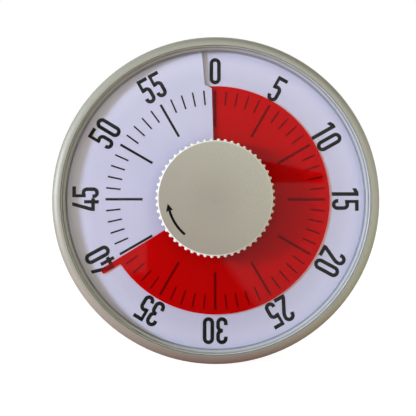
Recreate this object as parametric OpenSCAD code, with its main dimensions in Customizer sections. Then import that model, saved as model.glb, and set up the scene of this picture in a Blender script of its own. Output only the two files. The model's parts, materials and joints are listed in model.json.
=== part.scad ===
// Wind-up visual countdown timer for one hour, standing on its fold-out leg.
// Lengths are millimetres and angles are degrees. Each module is drawn in the dial's own frame:
// X to the reader's right, Y towards the zero mark, Z out of the dial towards the reader, and
// z = 0 on the back face of the case. stand_up() leans that frame back and sets it on the floor.
// A clock angle runs clockwise from the zero mark, as the reader sees it.

/* [Case] */
// Radius of the case at its widest, round the bezel
case_r = 95; // [93:0.5:105]
// Depth of the case, from its back face to the front of the bezel
case_depth = 39; // [38.5:0.5:44]
// Angle by which the dial leans back when the timer stands
lean = 8; // [5:0.5:9]
// Wall thickness of the rear shell
shell_wall = 2.2; // [1.8:0.1:2.6]
// Radius of the rounded corner round the back of the rear shell
shell_corner_r = 9; // [6:0.5:11]
// Draw-in of the rear shell's side, from its rim to its corner
shell_draft = 3.6; // [2:0.2:5]
// Clearance between moulded pieces that fit together
mould_gap = 0.2; // [0.1:0.05:0.3]

/* [Bezel] */
// Height of the bezel along the dial axis
bezel_h = 14; // [12:0.5:16]
// Width of the bezel's rounded front, seen from the front
bezel_face_w = 5.2; // [4:0.2:7]
// Depth from the bezel's front down to its widest line
bezel_crown = 3; // [2:0.25:4]
// Draw-in of the bezel's side, from its widest line to its rear edge
bezel_draft = 1.8; // [1.6:0.1:2.4]
// Width of the ledge that the lens sits on
ledge_w = 1.8; // [1.4:0.1:2.4]
// Depth of that ledge below the bezel's front
ledge_depth = 3.4; // [3:0.1:4]

/* [Lens] */
// Thickness of the lens window
lens_t = 1.6; // [1.2:0.1:2]
// Depth of the window's front face below the bezel's front
lens_inset = 0.8; // [0.4:0.1:1.2]
// Radius of the hole in the lens for the knob
lens_hole_r = 14; // [13:0.5:20]
// Width of the clear hooks that snap the lens into the bezel
hook_w = 3; // [2:0.5:5]

/* [Dial and time disc] */
// Depth of the dial's zero mark below the bezel's front
dial_depth = 11; // [10.5:0.25:12]
// Rise of the dial over one whole turn, which lets the disc pass through its slit
dial_rise = 2.8; // [2.4:0.1:3.2]
// Thickness of the dial
dial_t = 0.8; // [0.6:0.1:1]
// Radius of the hole in the dial
dial_hole_r = 24; // [21:0.5:30]
// Thickness of the red time disc
disc_t = 0.4; // [0.3:0.1:0.5]
// Radius of the red time disc
disc_r = 67; // [60:0.5:72]
// Reach of the pointer tab beyond the disc's edge
tab_reach = 11.6; // [8:0.2:13]
// Angle that the pointer tab fills at the disc's edge
tab_angle = 2.9; // [2:0.1:4]
// Rounding of the pointer tab's corners
tab_corner_r = 0.9; // [0.5:0.1:1.1]
// Minutes set in the pose that is drawn
set_minutes = 40; // [0:1:60]

/* [Knob] */
// Radius over the ribs of the knob
knob_r = 34.2; // [30:0.2:38]
// Height of the knob's front above the bezel's front
knob_reach = 9; // [8:0.5:12]
// Number of ribs round the knob
knob_ribs = 54; // [36:2:60]
// Radius of one rib
rib_r = 0.95; // [0.7:0.05:1.1]
// Depth of the shallow dish in the knob's face
knob_dish = 0.9; // [0.4:0.1:1.4]
// Rounding of the knob's front edge
knob_edge_r = 0.6; // [0.4:0.1:1]
// Radius of the knob's neck, which carries the disc hub
neck_r = 11.3; // [9:0.1:12]

/* [Movement] */
// Module of the teeth in the first two stages
coarse_module = 0.6; // [0.56:0.01:0.62]
// Module of the teeth in the last two stages
fine_module = 0.5; // [0.46:0.01:0.52]
// Thickness of each movement plate
plate_t = 1.2; // [1:0.1:1.4]
// Clear height between the movement plates
plate_gap = 12.4; // [12.4:0.1:12.8]
// Thickness of the train wheels
wheel_t = 1.2; // [1:0.1:1.3]
// Radius of the main arbor
arbor_r = 2.5; // [2.2:0.1:2.7]
// Width of the mainspring's strip
spring_w = 5; // [4:0.25:5.25]
// Thickness of the mainspring's strip
spring_t = 0.4; // [0.3:0.05:0.5]
// Outer radius of the let-down mainspring
spring_r = 18; // [15:0.5:18.5]

/* [Alarm] */
// Radius of the bell
bell_r = 21; // [18:0.5:22]
// Height of the bell
bell_h = 12; // [10:0.5:13]
// Wall thickness of the bell
bell_t = 1; // [0.8:0.1:1.4]
// Travel of the hammer to the bell
hammer_travel = 4.5; // [3:0.5:5]

/* [Leg] */
// Length of the fold-out leg, from its hinge to its rubber feet
leg_len = 52; // [50:0.5:56]
// Width of the leg at its feet
leg_w = 94; // [80:1:96]
// Thickness of the leg
leg_t = 3; // [2.4:0.1:3.2]
// Distance of the leg's hinge below the centre of the dial
hinge_drop = 62; // [60:0.5:64]
// Radius of the rubber feet
pad_r = 2; // [1.8:0.1:2.1]
// Depth of the pocket that takes the folded leg
pocket_depth = 5; // [4.8:0.1:5.2]

/* [Hidden] */
$fn = 96;

// Running clearances, all radial
run_gap = 0.05;
slide_gap = 0.15;

// Bezel and rear shell, as radii and heights on the dial's frame
bezel_open_r = case_r - bezel_face_w;
bezel_bore_r = bezel_open_r - ledge_w;
bezel_back_z = case_depth - bezel_h;
widest_z = case_depth - bezel_crown;
ledge_z = case_depth - ledge_depth;
bezel_back_r = case_r - bezel_draft;
bezel_lip = 0.6;
shell_rim_r = bezel_back_r - bezel_lip;
shell_side_r = shell_rim_r - shell_draft;
back_flat_r = shell_side_r - shell_corner_r;
tongue_h = 3.5;
tongue_foot_z = bezel_back_z - tongue_h;

// Dial and disc: both are ramps that rise by dial_rise in a turn, with the disc midway between
// the dial's two ends
dial_z = case_depth - dial_depth;
dial_r = bezel_bore_r - mould_gap;
disc_gap = (dial_rise - dial_t - disc_t) / 2;
slit_in = -1.75;
slit_out = -5.2;
slit_step_in_r = disc_r - 1.4;
slit_step_out_r = disc_r + 0.9;
slit_lap = 6;
ramp_step = 3;
disc_span = 357;
edge_lag = 1.4;
disc_edge = 6 * set_minutes - edge_lag;
hub_r = 18;
hub_wall_gap = 0.02;
hub_over = 0.4;
hub_low_z = disc_z(disc_edge - disc_span) - hub_over;
hub_high_z = disc_z(disc_edge) + disc_t + hub_over;
spline_r = 1.2;
spline_count = 3;
function ramp(clock) = dial_rise * clock / 360;
function disc_z(clock) = dial_z + ramp(clock) + disc_gap;

// Lens
lens_z = case_depth - lens_inset;
lens_r = bezel_open_r - mould_gap;
lens_rim_h = 0.4;
skirt_t = 1.1;
skirt_r = bezel_bore_r - 0.3;
skirt_z = dial_z + dial_rise + 0.6;
hook_t = 0.8;
hook_r = bezel_bore_r + 0.7;
hook_foot_z = ledge_z - 4;
hook_clocks = [90, 210, 330];

// Knob
knob_front_z = case_depth + knob_reach;
knob_back_z = lens_z + lens_rim_h + 0.8;
rib_ring_r = knob_r - rib_r;
rib_sink = 0.3;
rib_foot = 0.6;
rib_nose = 0.8;
rib_top = knob_edge_r + 0.4;
face_rim_w = 0.5;
knob_skin = 2.2;
neck_foot_z = dial_z - 2.4;
arbor_tip_z = knob_front_z - 4;

// Movement, from its back plate forwards
movement_gap = 1.4;
back_plate_z = pocket_depth + shell_wall + movement_gap;
inner_z = back_plate_z + plate_t;
front_plate_z = inner_z + plate_gap;
pivot_end_z = front_plate_z + plate_t + 0.5;
pivot_start_z = back_plate_z - 0.4;
low_z = inner_z + 2.2;
spring_z = inner_z + 0.6;
great_z = inner_z + 6.3;
ratchet_z = great_z + wheel_t + 0.15;
high_z = inner_z + 9.3;
cam_z = high_z + wheel_t + 0.4;
pinion_over = 0.6;
pinion_teeth = 12;
great_teeth = 72;
second_teeth = 60;
third_teeth = 60;
fourth_teeth = 48;
escape_teeth = 15;
pressure_angle = 20;
addendum = 0.7;
dedendum = 1.1;
backlash = 0.12;
flank_steps = 2;
rod_r = 1.2;
pivot_r = 0.8;
escape_r = 7;
pallet_gap = 0.8;
pallet_pin_r = 0.5;
pallet_span = 60;
balance_r = 8;

// Places of the arbors: each stage is laid off from the one before at its meshing distance
function polar(r, a) = [r * cos(a), r * sin(a)];
function at_clock(r, c) = [r * sin(c), r * cos(c)];
function mesh_distance(teeth, mod) = mod * (teeth + pinion_teeth) / 2;
second_dir = 150;
third_dir = 75;
fourth_dir = 0;
escape_dir = -20;
pallet_dir = -35;
second_at = polar(mesh_distance(great_teeth, coarse_module), second_dir);
third_at = second_at + polar(mesh_distance(second_teeth, coarse_module), third_dir);
fourth_at = third_at + polar(mesh_distance(third_teeth, fine_module), fourth_dir);
escape_at = fourth_at + polar(mesh_distance(fourth_teeth, fine_module), escape_dir);
pallet_at = escape_at + polar(escape_r + 4.5, pallet_dir);
hammer_at = [24, -20];
bell_at = [56, 2];
pillar_r = 2;
pillar_at = [[-26, -20], [-38, 36], [-6, 52], [18, 44], [13, -32]];
lug_at = [[-40, 0], [31, 36], [-24, 57]];
front_outline = [[-26, -20], [-40, 6], [-38, 36], [-6, 52], [18, 44], [29, 24], [26, -20], [13, -32]];
back_outline = [[-26, -20], [-40, 0], [-38, 36], [-24, 57], [-6, 54], [18, 46], [31, 36], [26, -20],
                [13, -32]];
plate_edge_r = 5;
plate_stud_r = pillar_r - 0.6;
nut_r = 2.8;
nut_h = 1;
plate_screw_head_h = 1.6;
plate_screw_slot_w = 0.8;

// Mainspring, and the ratchet that winds it
spring_turns = 5;
spring_steps = 24;
spring_in_r = arbor_r + 0.4;
spring_post_r = 1.2;
spring_end_dir = 250;
ratchet_teeth = 24;
ratchet_tip_r = 8;
ratchet_root_r = 7;
click_ring_r = 14.5;
click_dir = -40;
click_at = polar(click_ring_r, click_dir - 22);
click_spring_r = 17;
click_spring_t = 0.4;

// Alarm
bell_low_z = back_plate_z + 0.6;
bell_post_r = 3;
hammer_head_r = 2.5;
hammer_z = bell_low_z + 3.2;
hammer_gap = 0.4;
hammer_arm = bell_at[1] - hammer_at[1];
hammer_rest_gap = hammer_gap + hammer_arm * sin(hammer_travel);
hammer_head_at = [bell_at[0] - bell_r - hammer_head_r - hammer_rest_gap, bell_at[1]];
cam_r = 9;
cam_t = 0.8;
cam_notch_w = 2.4;
cam_follow_dir = atan2(hammer_at[1], hammer_at[0]);

// Screws and magnets
screw_ring_r = 76;
screw_clocks = [45, 135, 225, 315];
screw_r = 1.5;
screw_gap = 0.2;
screw_head_r = 2.8;
screw_head_h = 2;
screw_sink = 0.9;
screw_slot_r = 1.7;
screw_slot_w = 0.7;
screw_slot_deep = 0.9;
screw_bite = 7;
boss_r = 4.2;
boss_web_t = 3;
boss_split_z = 15;
boss_hole_deep = 8;
post_ring_r = 84;
post_r = 2.5;
post_count = 8;
magnet_r = 8;
magnet_h = 3;
magnet_sink = 0.1;
magnet_at = [[-62, 22], [62, 28], [-36, 62], [36, 64]];

// Leg
hinge_z = 2.6;
pin_r = 1;
barrel_r = 2.2;
leg_back_z = 0.5;
leg_root_w = 62;
leg_corner_r = 6;
pocket_side_gap = 1;
pocket_top_gap = 6;
pocket_cheek = 5;
leg_stop_gap = 0.1;
pad_len = 14;

// Standing pose: the lowest line of the leaning case gives the height of the dial centre, and the
// leg opens until its feet reach that floor
function drop(r, z) = r * cos(lean) - z * sin(lean);
function ahead(r, z) = z * cos(lean) + r * sin(lean);
centre_h = max(drop(case_r, widest_z), drop(bezel_back_r, bezel_back_z),
    drop(shell_rim_r, bezel_back_z));
hinge_h = centre_h - drop(hinge_drop, hinge_z);
leg_fall = acos((hinge_h - pad_r) / leg_len);
leg_open = 180 - lean - leg_fall;
feet_back = leg_len * sin(leg_fall) - ahead(hinge_drop, hinge_z) + pad_r;
front_reach = max(ahead(knob_r - 2 * rib_r - 1, knob_front_z), ahead(bezel_open_r, case_depth));
centre_y = (front_reach - feet_back) / 2;
leg_stop_along = (hinge_z + (leg_back_z - hinge_z) * cos(leg_open)) / sin(leg_open);
leg_stop_y = -hinge_drop + leg_stop_along * cos(leg_open) + (leg_back_z - hinge_z) * sin(leg_open)
    - leg_stop_gap;
pocket_top_y = -hinge_drop + leg_len + pad_r + pocket_top_gap;
pocket_half_w = leg_w / 2 + pocket_side_gap;

module stand_up() {
    translate([0, centre_y, centre_h]) rotate([90 - lean, 0, 0]) children();
}

// Shared shapes

module spot(p, z = 0) {
    translate([p[0], p[1], z]) children();
}

module at_each(places, z = 0) {
    for (p = places) spot(p, z) children();
}

module tube(outer, inner, h) {
    difference() {
        cylinder(r = outer, h = h);
        translate([0, 0, -1]) cylinder(r = inner, h = h + 2);
    }
}

// A convex outline whose points run clockwise, grown outwards by r with round corners
function side_normal(a, b) = atan2(b[0] - a[0], a[1] - b[1]);
function rounded_outline(points, r, steps = 6) =
    let (count = len(points))
    [for (i = [0 : count - 1])
        let (
            here = points[i],
            first = side_normal(points[(i + count - 1) % count], here),
            turn = (first - side_normal(here, points[(i + 1) % count]) + 360) % 360
        )
        for (k = [0 : steps]) here + polar(r, first - turn * k / steps)];

// Involute of the base circle, as the angle between its start and the point at radius r
function involute(base_r, r) = let (a = acos(min(1, base_r / r))) tan(a) * 180 / PI - a;
function tooth_half(teeth, mod, r) =
    let (pitch_r = mod * teeth / 2, base_r = pitch_r * cos(pressure_angle))
    90 / teeth - backlash / 4 / pitch_r * 180 / PI + involute(base_r, pitch_r)
    - involute(base_r, max(r, base_r));
function flank(teeth, mod, low_r, high_r, k) = low_r + (high_r - low_r) * k / flank_steps;
function gear_points(teeth, mod) =
    let (
        pitch_r = mod * teeth / 2,
        base_r = pitch_r * cos(pressure_angle),
        root_r = pitch_r - dedendum * mod,
        tip_r = pitch_r + addendum * mod,
        low_r = max(base_r, root_r),
        root = root_r < base_r ? [root_r] : []
    )
    [for (i = [0 : teeth - 1]) each concat(
        [for (r = root) polar(r, i * 360 / teeth - tooth_half(teeth, mod, base_r))],
        [for (k = [0 : flank_steps]) let (r = flank(teeth, mod, low_r, tip_r, k))
            polar(r, i * 360 / teeth - tooth_half(teeth, mod, r))],
        [for (k = [flank_steps : -1 : 0]) let (r = flank(teeth, mod, low_r, tip_r, k))
            polar(r, i * 360 / teeth + tooth_half(teeth, mod, r))],
        [for (r = root) polar(r, i * 360 / teeth + tooth_half(teeth, mod, base_r))]
    )];

// Window between two spokes of a wheel, as a sector of a ring
function window_points(inner_r, outer_r, span, steps = 6) = concat(
    [for (k = [0 : steps]) polar(outer_r, -span / 2 + span * k / steps)],
    [for (k = [steps : -1 : 0]) polar(inner_r, -span / 2 + span * k / steps)]
);

// A toothed wheel with spokes; toothed_dir is the direction in which a tooth points
module toothed_wheel(teeth, mod, h, bore_r, toothed_dir, spokes = 5) {
    root_r = mod * teeth / 2 - dedendum * mod;
    rim_r = root_r - 1.6;
    hub_edge_r = bore_r + 2.6;
    difference() {
        linear_extrude(h) difference() {
            rotate(toothed_dir) polygon(gear_points(teeth, mod));
            if (spokes > 0) for (i = [0 : spokes - 1]) rotate(i * 360 / spokes)
                polygon(window_points(hub_edge_r, rim_r, 360 / spokes - 16));
        }
        if (bore_r > 0) translate([0, 0, -1]) cylinder(r = bore_r, h = h + 2);
    }
}

// An arbor of the train with its pivots, its pinion and its wheel
module train_arbor(at, pinion_z, wheel_z, teeth, wheel_module, pinion_module, from_dir, to_dir) {
    pinion_h = wheel_t + 2 * pinion_over;
    spot(at, inner_z + 0.2) cylinder(r = rod_r, h = plate_gap - 0.4);
    spot(at, pivot_start_z) cylinder(r = pivot_r, h = pivot_end_z - pivot_start_z);
    spot(at, pinion_z - pinion_over) rotate(from_dir + 180 + 180 / pinion_teeth)
        linear_extrude(pinion_h) polygon(gear_points(pinion_teeth, pinion_module));
    spot(at, wheel_z) toothed_wheel(teeth, wheel_module, wheel_t, 0, to_dir);
}

// Saw teeth, leaning so that they catch one way round
function saw_points(teeth, root_r, tip_r, slope) = [for (i = [0 : teeth - 1]) each [
    polar(root_r, i * 360 / teeth), polar(tip_r, i * 360 / teeth + slope)
]];

// Point grid of a ramp plate between two heights; rings holds [radius, first clock, last clock]
module ramp_plate(rings, steps, base_z, t) {
    count = len(rings);
    layer = count * (steps + 1);
    points = [for (side = [0, 1]) for (ring = rings) for (k = [0 : steps])
        let (clock = ring[1] + (ring[2] - ring[1]) * k / steps, p = at_clock(ring[0], clock))
        [p[0], p[1], base_z + ramp(clock) + side * t]];
    function at(side, ring, k) = side * layer + ring * (steps + 1) + k;
    polyhedron(points, concat(
        [for (ring = [0 : count - 2]) for (k = [0 : steps - 1])
            [at(1, ring, k), at(1, ring, k + 1), at(1, ring + 1, k + 1), at(1, ring + 1, k)]],
        [for (ring = [0 : count - 2]) for (k = [0 : steps - 1])
            [at(0, ring, k), at(0, ring + 1, k), at(0, ring + 1, k + 1), at(0, ring, k + 1)]],
        [for (k = [0 : steps - 1]) [at(0, 0, k), at(0, 0, k + 1), at(1, 0, k + 1), at(1, 0, k)]],
        [for (k = [0 : steps - 1]) let (r = count - 1)
            [at(0, r, k), at(1, r, k), at(1, r, k + 1), at(0, r, k + 1)]],
        [for (ring = [0 : count - 2])
            [at(0, ring, 0), at(1, ring, 0), at(1, ring + 1, 0), at(0, ring + 1, 0)]],
        [for (ring = [0 : count - 2])
            [at(0, ring, steps), at(0, ring + 1, steps), at(1, ring + 1, steps), at(1, ring, steps)]]
    ));
}

// Case

function corner_arc(r, steps = 10) = [for (k = [0 : steps])
    [back_flat_r + r * sin(90 * k / steps), shell_corner_r - r * cos(90 * k / steps)]];
function shell_outer() = concat([[0, 0]], corner_arc(shell_corner_r),
    [[shell_rim_r, bezel_back_z], [0, bezel_back_z]]);
function shell_inner() = concat([[0, shell_wall]], corner_arc(shell_corner_r - shell_wall),
    [[shell_rim_r - shell_wall, bezel_back_z], [shell_rim_r - shell_wall, bezel_back_z + 1],
     [0, bezel_back_z + 1]]);

module shell_pocket(grow, front_z) {
    translate([-pocket_half_w - grow, leg_stop_y - grow, -1])
        cube([2 * (pocket_half_w + grow), pocket_top_y - leg_stop_y + 2 * grow, front_z + 1]);
}

module pin_cheeks() {
    for (side = [-1, 1])
        translate([side * (pocket_half_w + pocket_cheek / 2), -hinge_drop, pocket_depth / 2 + 0.6])
        cube([pocket_cheek, 3 * barrel_r, pocket_depth + 1.2], center = true);
}

// Slots in the back wall that let the bell's sound out
module sound_slots() {
    slot_w = 2;
    for (row = [-2, -1, 1, 2]) {
        half = 17 - 3 * abs(row);
        translate([bell_at[0] - half, bell_at[1] + 5.4 * row - slot_w / 2, -1])
            cube([2 * half, slot_w, shell_wall + 2]);
    }
}

module rear_shell() {
    color("silver") stand_up() difference() {
        union() {
            difference() {
                rotate_extrude() polygon(shell_outer());
                rotate_extrude() polygon(shell_inner());
            }
            intersection() {
                rotate_extrude() polygon(shell_outer());
                union() {
                    shell_pocket(shell_wall, pocket_depth + shell_wall);
                    pin_cheeks();
                    for (i = [0 : post_count - 1]) let (clock = (i + 0.5) * 360 / post_count)
                        spot(at_clock(post_ring_r, clock), 0.5)
                            cylinder(r = post_r, h = dial_z + ramp(clock - 2) - dial_t - 0.5);
                }
            }
            for (clock = screw_clocks) spot(at_clock(screw_ring_r, clock), 0.5)
                cylinder(r = boss_r, h = boss_split_z - 0.5);
            at_each(lug_at, 0.5) cylinder(r = boss_r, h = back_plate_z - 0.5);
            at_each(magnet_at, 0.5)
                cylinder(r = magnet_r + 1.6, h = magnet_h + magnet_sink + shell_wall - 0.5);
            spot(bell_at, 0.5) cylinder(r = bell_post_r + 1.8, h = bell_low_z - 0.5);
        }
        shell_pocket(0, pocket_depth);
        translate([0, -hinge_drop, hinge_z]) rotate([0, 90, 0])
            cylinder(r = pin_r, h = 2 * (pocket_half_w + pocket_cheek - 1.5), center = true);
        for (clock = screw_clocks) spot(at_clock(screw_ring_r, clock)) {
            translate([0, 0, -1]) cylinder(r = screw_r + screw_gap, h = boss_split_z + 2);
            translate([0, 0, -1]) cylinder(r = screw_head_r + screw_gap, h = screw_head_h + 2);
        }
        at_each(lug_at, shell_wall) cylinder(r = screw_r, h = back_plate_z);
        at_each(magnet_at, -1) cylinder(r = magnet_r + mould_gap / 2, h = magnet_h + magnet_sink + 1);
        spot(bell_at, shell_wall) cylinder(r = screw_r, h = bell_low_z);
        sound_slots();
    }
}

function crown_arc(steps = 10) = [for (k = [0 : steps])
    [bezel_open_r + bezel_face_w * cos(90 * k / steps), widest_z + bezel_crown * sin(90 * k / steps)]];
function shell_inner_r(z) = shell_rim_r - shell_wall
    - shell_draft * (bezel_back_z - z) / (bezel_back_z - shell_corner_r);

module front_bezel() {
    color("silver") stand_up() difference() {
        union() {
            rotate_extrude() polygon(concat(
                [[shell_inner_r(bezel_back_z) - mould_gap, bezel_back_z], [bezel_back_r, bezel_back_z]],
                crown_arc(),
                [[bezel_open_r, ledge_z], [bezel_bore_r, ledge_z], [bezel_bore_r, tongue_foot_z],
                 [shell_inner_r(tongue_foot_z) - mould_gap, tongue_foot_z]]
            ));
            for (clock = screw_clocks) rotate(-clock) {
                translate([0, screw_ring_r, boss_split_z])
                    cylinder(r = boss_r, h = bezel_back_z - mould_gap - boss_split_z);
                translate([-boss_web_t / 2, screw_ring_r, tongue_foot_z])
                    cube([boss_web_t, bezel_bore_r - screw_ring_r + 0.5, tongue_h - mould_gap]);
            }
        }
        for (clock = screw_clocks) spot(at_clock(screw_ring_r, clock), boss_split_z - 1)
            cylinder(r = screw_r, h = boss_hole_deep + 1);
        for (clock = hook_clocks) rotate(-clock)
            translate([-hook_w / 2 - mould_gap, hook_r - hook_t / 2 - mould_gap, tongue_foot_z - 1])
                cube([hook_w + 2 * mould_gap, hook_t + 2 * mould_gap, ledge_z - tongue_foot_z + 2]);
    }
}

module lens() {
    rim_in_r = bezel_bore_r - 0.8;
    groove_r = (lens_r + rim_in_r) / 2;
    color([0.9, 0.95, 1, 0.3]) stand_up() {
        rotate_extrude() polygon([
            [lens_hole_r, lens_z - lens_t], [skirt_r - skirt_t, lens_z - lens_t],
            [skirt_r - skirt_t, skirt_z], [skirt_r, skirt_z],
            [skirt_r, ledge_z + 0.05], [lens_r, ledge_z + 0.05],
            [lens_r, lens_z + lens_rim_h - 0.3], [lens_r - 0.3, lens_z + lens_rim_h],
            [groove_r + 0.25, lens_z + lens_rim_h], [groove_r, lens_z + lens_rim_h - 0.35],
            [groove_r - 0.25, lens_z + lens_rim_h], [rim_in_r + 0.3, lens_z + lens_rim_h],
            [rim_in_r, lens_z], [lens_hole_r, lens_z]
        ]);
        for (clock = hook_clocks) rotate(-clock)
            translate([-hook_w / 2, hook_r - hook_t / 2, hook_foot_z])
                cube([hook_w, hook_t, ledge_z + 0.2 - hook_foot_z]);
    }
}

// Dial and disc

module dial_plate() {
    end_in = 360 + slit_in;
    end_out = 360 + slit_out;
    color("ghostwhite") stand_up() ramp_plate([
        [dial_hole_r, slit_in - slit_lap, end_in],
        [slit_step_in_r, slit_in - slit_lap, end_in],
        [slit_step_out_r, slit_out - slit_lap, end_out],
        [dial_r, slit_out - slit_lap, end_out]
    ], round((360 + slit_lap) / ramp_step), dial_z - dial_t, dial_t);
}

// Pointer tab: a parallel strip with rounded corners that runs on from the disc's leading edge
module pointer_tab() {
    root_y = disc_r - 4;
    tip_y = disc_r + tab_reach;
    tab_w = disc_r * sin(tab_angle);
    rotate(-disc_edge) translate([-tab_w, 0, disc_z(disc_edge)]) linear_extrude(disc_t) {
        translate([0, root_y]) square([tab_w, tip_y - tab_corner_r - root_y]);
        translate([tab_corner_r, root_y]) square([tab_w - 2 * tab_corner_r, tip_y - root_y]);
        for (x = [tab_corner_r, tab_w - tab_corner_r])
            translate([x, tip_y - tab_corner_r]) circle(r = tab_corner_r);
    }
}

module time_disc() {
    inner_r = (hub_r + hub_wall_gap) / cos(ramp_step / 2);
    color("crimson") stand_up() union() {
        ramp_plate([
            [inner_r, disc_edge - disc_span, disc_edge],
            [disc_r, disc_edge - disc_span, disc_edge]
        ], round(disc_span / ramp_step), dial_z + disc_gap, disc_t);
        pointer_tab();
    }
}

module disc_hub() {
    hub_h = hub_high_z - hub_low_z;
    color("dimgray") stand_up() translate([0, 0, hub_low_z]) difference() {
        cylinder(r = hub_r, h = hub_h);
        translate([0, 0, -1]) cylinder(r = neck_r + slide_gap, h = hub_h + 2);
        for (i = [0 : spline_count - 1]) rotate(i * 360 / spline_count)
            translate([neck_r, 0, -1]) cylinder(r = spline_r + slide_gap, h = hub_h + 2);
    }
}

// Knob

module knob() {
    face_z = knob_front_z;
    body_r = rib_ring_r - rib_sink;
    rib_foot_z = knob_back_z + rib_foot;
    rib_h = face_z - rib_top - rib_nose - rib_foot_z;
    spline_h = lens_z - lens_t - 1 - neck_foot_z;
    color("gainsboro") stand_up() {
        rotate_extrude() polygon([
            [0, arbor_tip_z + 0.2], [arbor_r + 0.02, arbor_tip_z + 0.2], [arbor_r + 0.02, neck_foot_z],
            [neck_r, neck_foot_z], [neck_r, face_z - knob_dish - knob_skin],
            [body_r - knob_skin, face_z - knob_skin - 0.6], [body_r - knob_skin, knob_back_z],
            [body_r, knob_back_z],
            for (a = [0 : 30 : 90])
                [body_r - knob_edge_r * (1 - cos(a)), face_z - knob_edge_r * (1 - sin(a))],
            [body_r - knob_edge_r - face_rim_w, face_z],
            [4, face_z - knob_dish], [0, face_z - knob_dish]
        ]);
        for (i = [0 : knob_ribs - 1]) rotate(i * 360 / knob_ribs)
            translate([rib_ring_r, 0, rib_foot_z]) {
                cylinder(r = rib_r, h = rib_h, $fn = 24);
                translate([0, 0, rib_h]) cylinder(r1 = rib_r, r2 = rib_r * 0.45, h = rib_nose, $fn = 24);
            }
        for (i = [0 : spline_count - 1]) rotate(i * 360 / spline_count)
            translate([neck_r, 0, neck_foot_z]) cylinder(r = spline_r, h = spline_h);
    }
}

module main_arbor() {
    color("lightslategray") stand_up() {
        translate([0, 0, inner_z + 0.2]) cylinder(r = arbor_r, h = arbor_tip_z - inner_z - 0.2);
        translate([0, 0, pivot_start_z]) cylinder(r = arbor_r - 0.8, h = inner_z + 0.2 - pivot_start_z);
    }
}

// Movement frame

module pivot_holes(z) {
    at_each([second_at, third_at, fourth_at, escape_at, pallet_at, hammer_at], z - 1)
        cylinder(r = pivot_r + run_gap, h = plate_t + 2);
}

module back_plate() {
    color("goldenrod") stand_up() difference() {
        translate([0, 0, back_plate_z]) linear_extrude(plate_t)
            polygon(rounded_outline(back_outline, plate_edge_r));
        pivot_holes(back_plate_z);
        translate([0, 0, back_plate_z - 1]) cylinder(r = arbor_r - 0.8 + run_gap, h = plate_t + 2);
        at_each(lug_at, back_plate_z - 1) cylinder(r = screw_r + screw_gap, h = plate_t + 2);
        at_each(pillar_at, back_plate_z - 1) cylinder(r = pillar_r - 0.6, h = plate_t + 2);
    }
}

module front_plate() {
    color("goldenrod") stand_up() difference() {
        translate([0, 0, front_plate_z]) linear_extrude(plate_t)
            polygon(rounded_outline(front_outline, plate_edge_r));
        pivot_holes(front_plate_z);
        translate([0, 0, front_plate_z - 1]) cylinder(r = arbor_r + run_gap, h = plate_t + 2);
        at_each(pillar_at, front_plate_z - 1) cylinder(r = pillar_r - 0.6, h = plate_t + 2);
    }
}

module pillars() {
    color("silver") stand_up() at_each(pillar_at) {
        translate([0, 0, inner_z]) cylinder(r = pillar_r, h = plate_gap);
        translate([0, 0, back_plate_z - 0.3])
            cylinder(r = plate_stud_r, h = plate_gap + 2 * plate_t + nut_h + 0.4);
    }
}

module pillar_nuts() {
    color("silver") stand_up() at_each(pillar_at, front_plate_z + plate_t) difference() {
        cylinder(r = nut_r, h = nut_h, $fn = 6);
        translate([0, 0, -nut_h]) cylinder(r = plate_stud_r, h = 3 * nut_h);
    }
}

module movement_screws() {
    color("silver") stand_up() at_each(lug_at) {
        translate([0, 0, shell_wall + 1]) cylinder(r = screw_r - 0.02, h = inner_z - shell_wall - 1);
        translate([0, 0, inner_z]) difference() {
            cylinder(r = screw_head_r, h = plate_screw_head_h);
            translate([-screw_head_r - 1, -plate_screw_slot_w / 2, plate_screw_head_h - 0.7])
                cube([2 * screw_head_r + 2, plate_screw_slot_w, plate_screw_head_h]);
        }
    }
}

// Mainspring: a spiral strip from the arbor out to its post
function spring_mid_r(turn) = spring_in_r + spring_t / 2
    + (spring_r - spring_in_r - spring_t) * turn / spring_turns;
function spring_side(offset) = [for (k = [0 : spring_turns * spring_steps])
    let (turn = k / spring_steps)
    polar(spring_mid_r(turn) + offset, spring_end_dir + 360 * (turn - spring_turns))];

module mainspring() {
    ends = spring_side(spring_t / 2);
    inner = spring_side(-spring_t / 2);
    color("steelblue") stand_up() translate([0, 0, spring_z]) linear_extrude(spring_w)
        polygon(concat(ends, [for (k = [len(inner) - 1 : -1 : 0]) inner[k]]));
}

module spring_post() {
    color("silver") stand_up() spot(polar(spring_r + spring_post_r, spring_end_dir), inner_z)
        cylinder(r = spring_post_r, h = spring_w + 1.2);
}

// Train

module great_wheel() {
    color("gold") stand_up() translate([0, 0, great_z])
        toothed_wheel(great_teeth, coarse_module, wheel_t, arbor_r + 0.01, second_dir);
}

module ratchet_wheel() {
    color("lightsteelblue") stand_up() translate([0, 0, ratchet_z]) difference() {
        linear_extrude(wheel_t) polygon(saw_points(ratchet_teeth, ratchet_root_r, ratchet_tip_r, 13));
        translate([0, 0, -1]) cylinder(r = arbor_r + 0.01, h = wheel_t + 2);
    }
}

// The click pivots on a stud in the great wheel's rim and rests on the ratchet's teeth
module click() {
    nose = polar(ratchet_tip_r + 0.15, click_dir + 4);
    color("lightsteelblue") stand_up() translate([0, 0, ratchet_z]) {
        linear_extrude(wheel_t) {
            translate(click_at) circle(r = 1.8);
            polygon([
                click_at + [1.2, 1.2], nose + polar(1.4, click_dir + 20), nose, click_at + [-1.5, 0]
            ]);
        }
    }
}

module click_spring() {
    color("lightsteelblue") stand_up() translate([0, 0, ratchet_z]) linear_extrude(wheel_t * 0.8)
        polygon(concat(
            [for (k = [0 : 8]) polar(click_spring_r + click_spring_t, click_dir - 18 + 5 * k)],
            [for (k = [8 : -1 : 0]) polar(click_spring_r, click_dir - 18 + 5 * k)]
        ));
}

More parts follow.
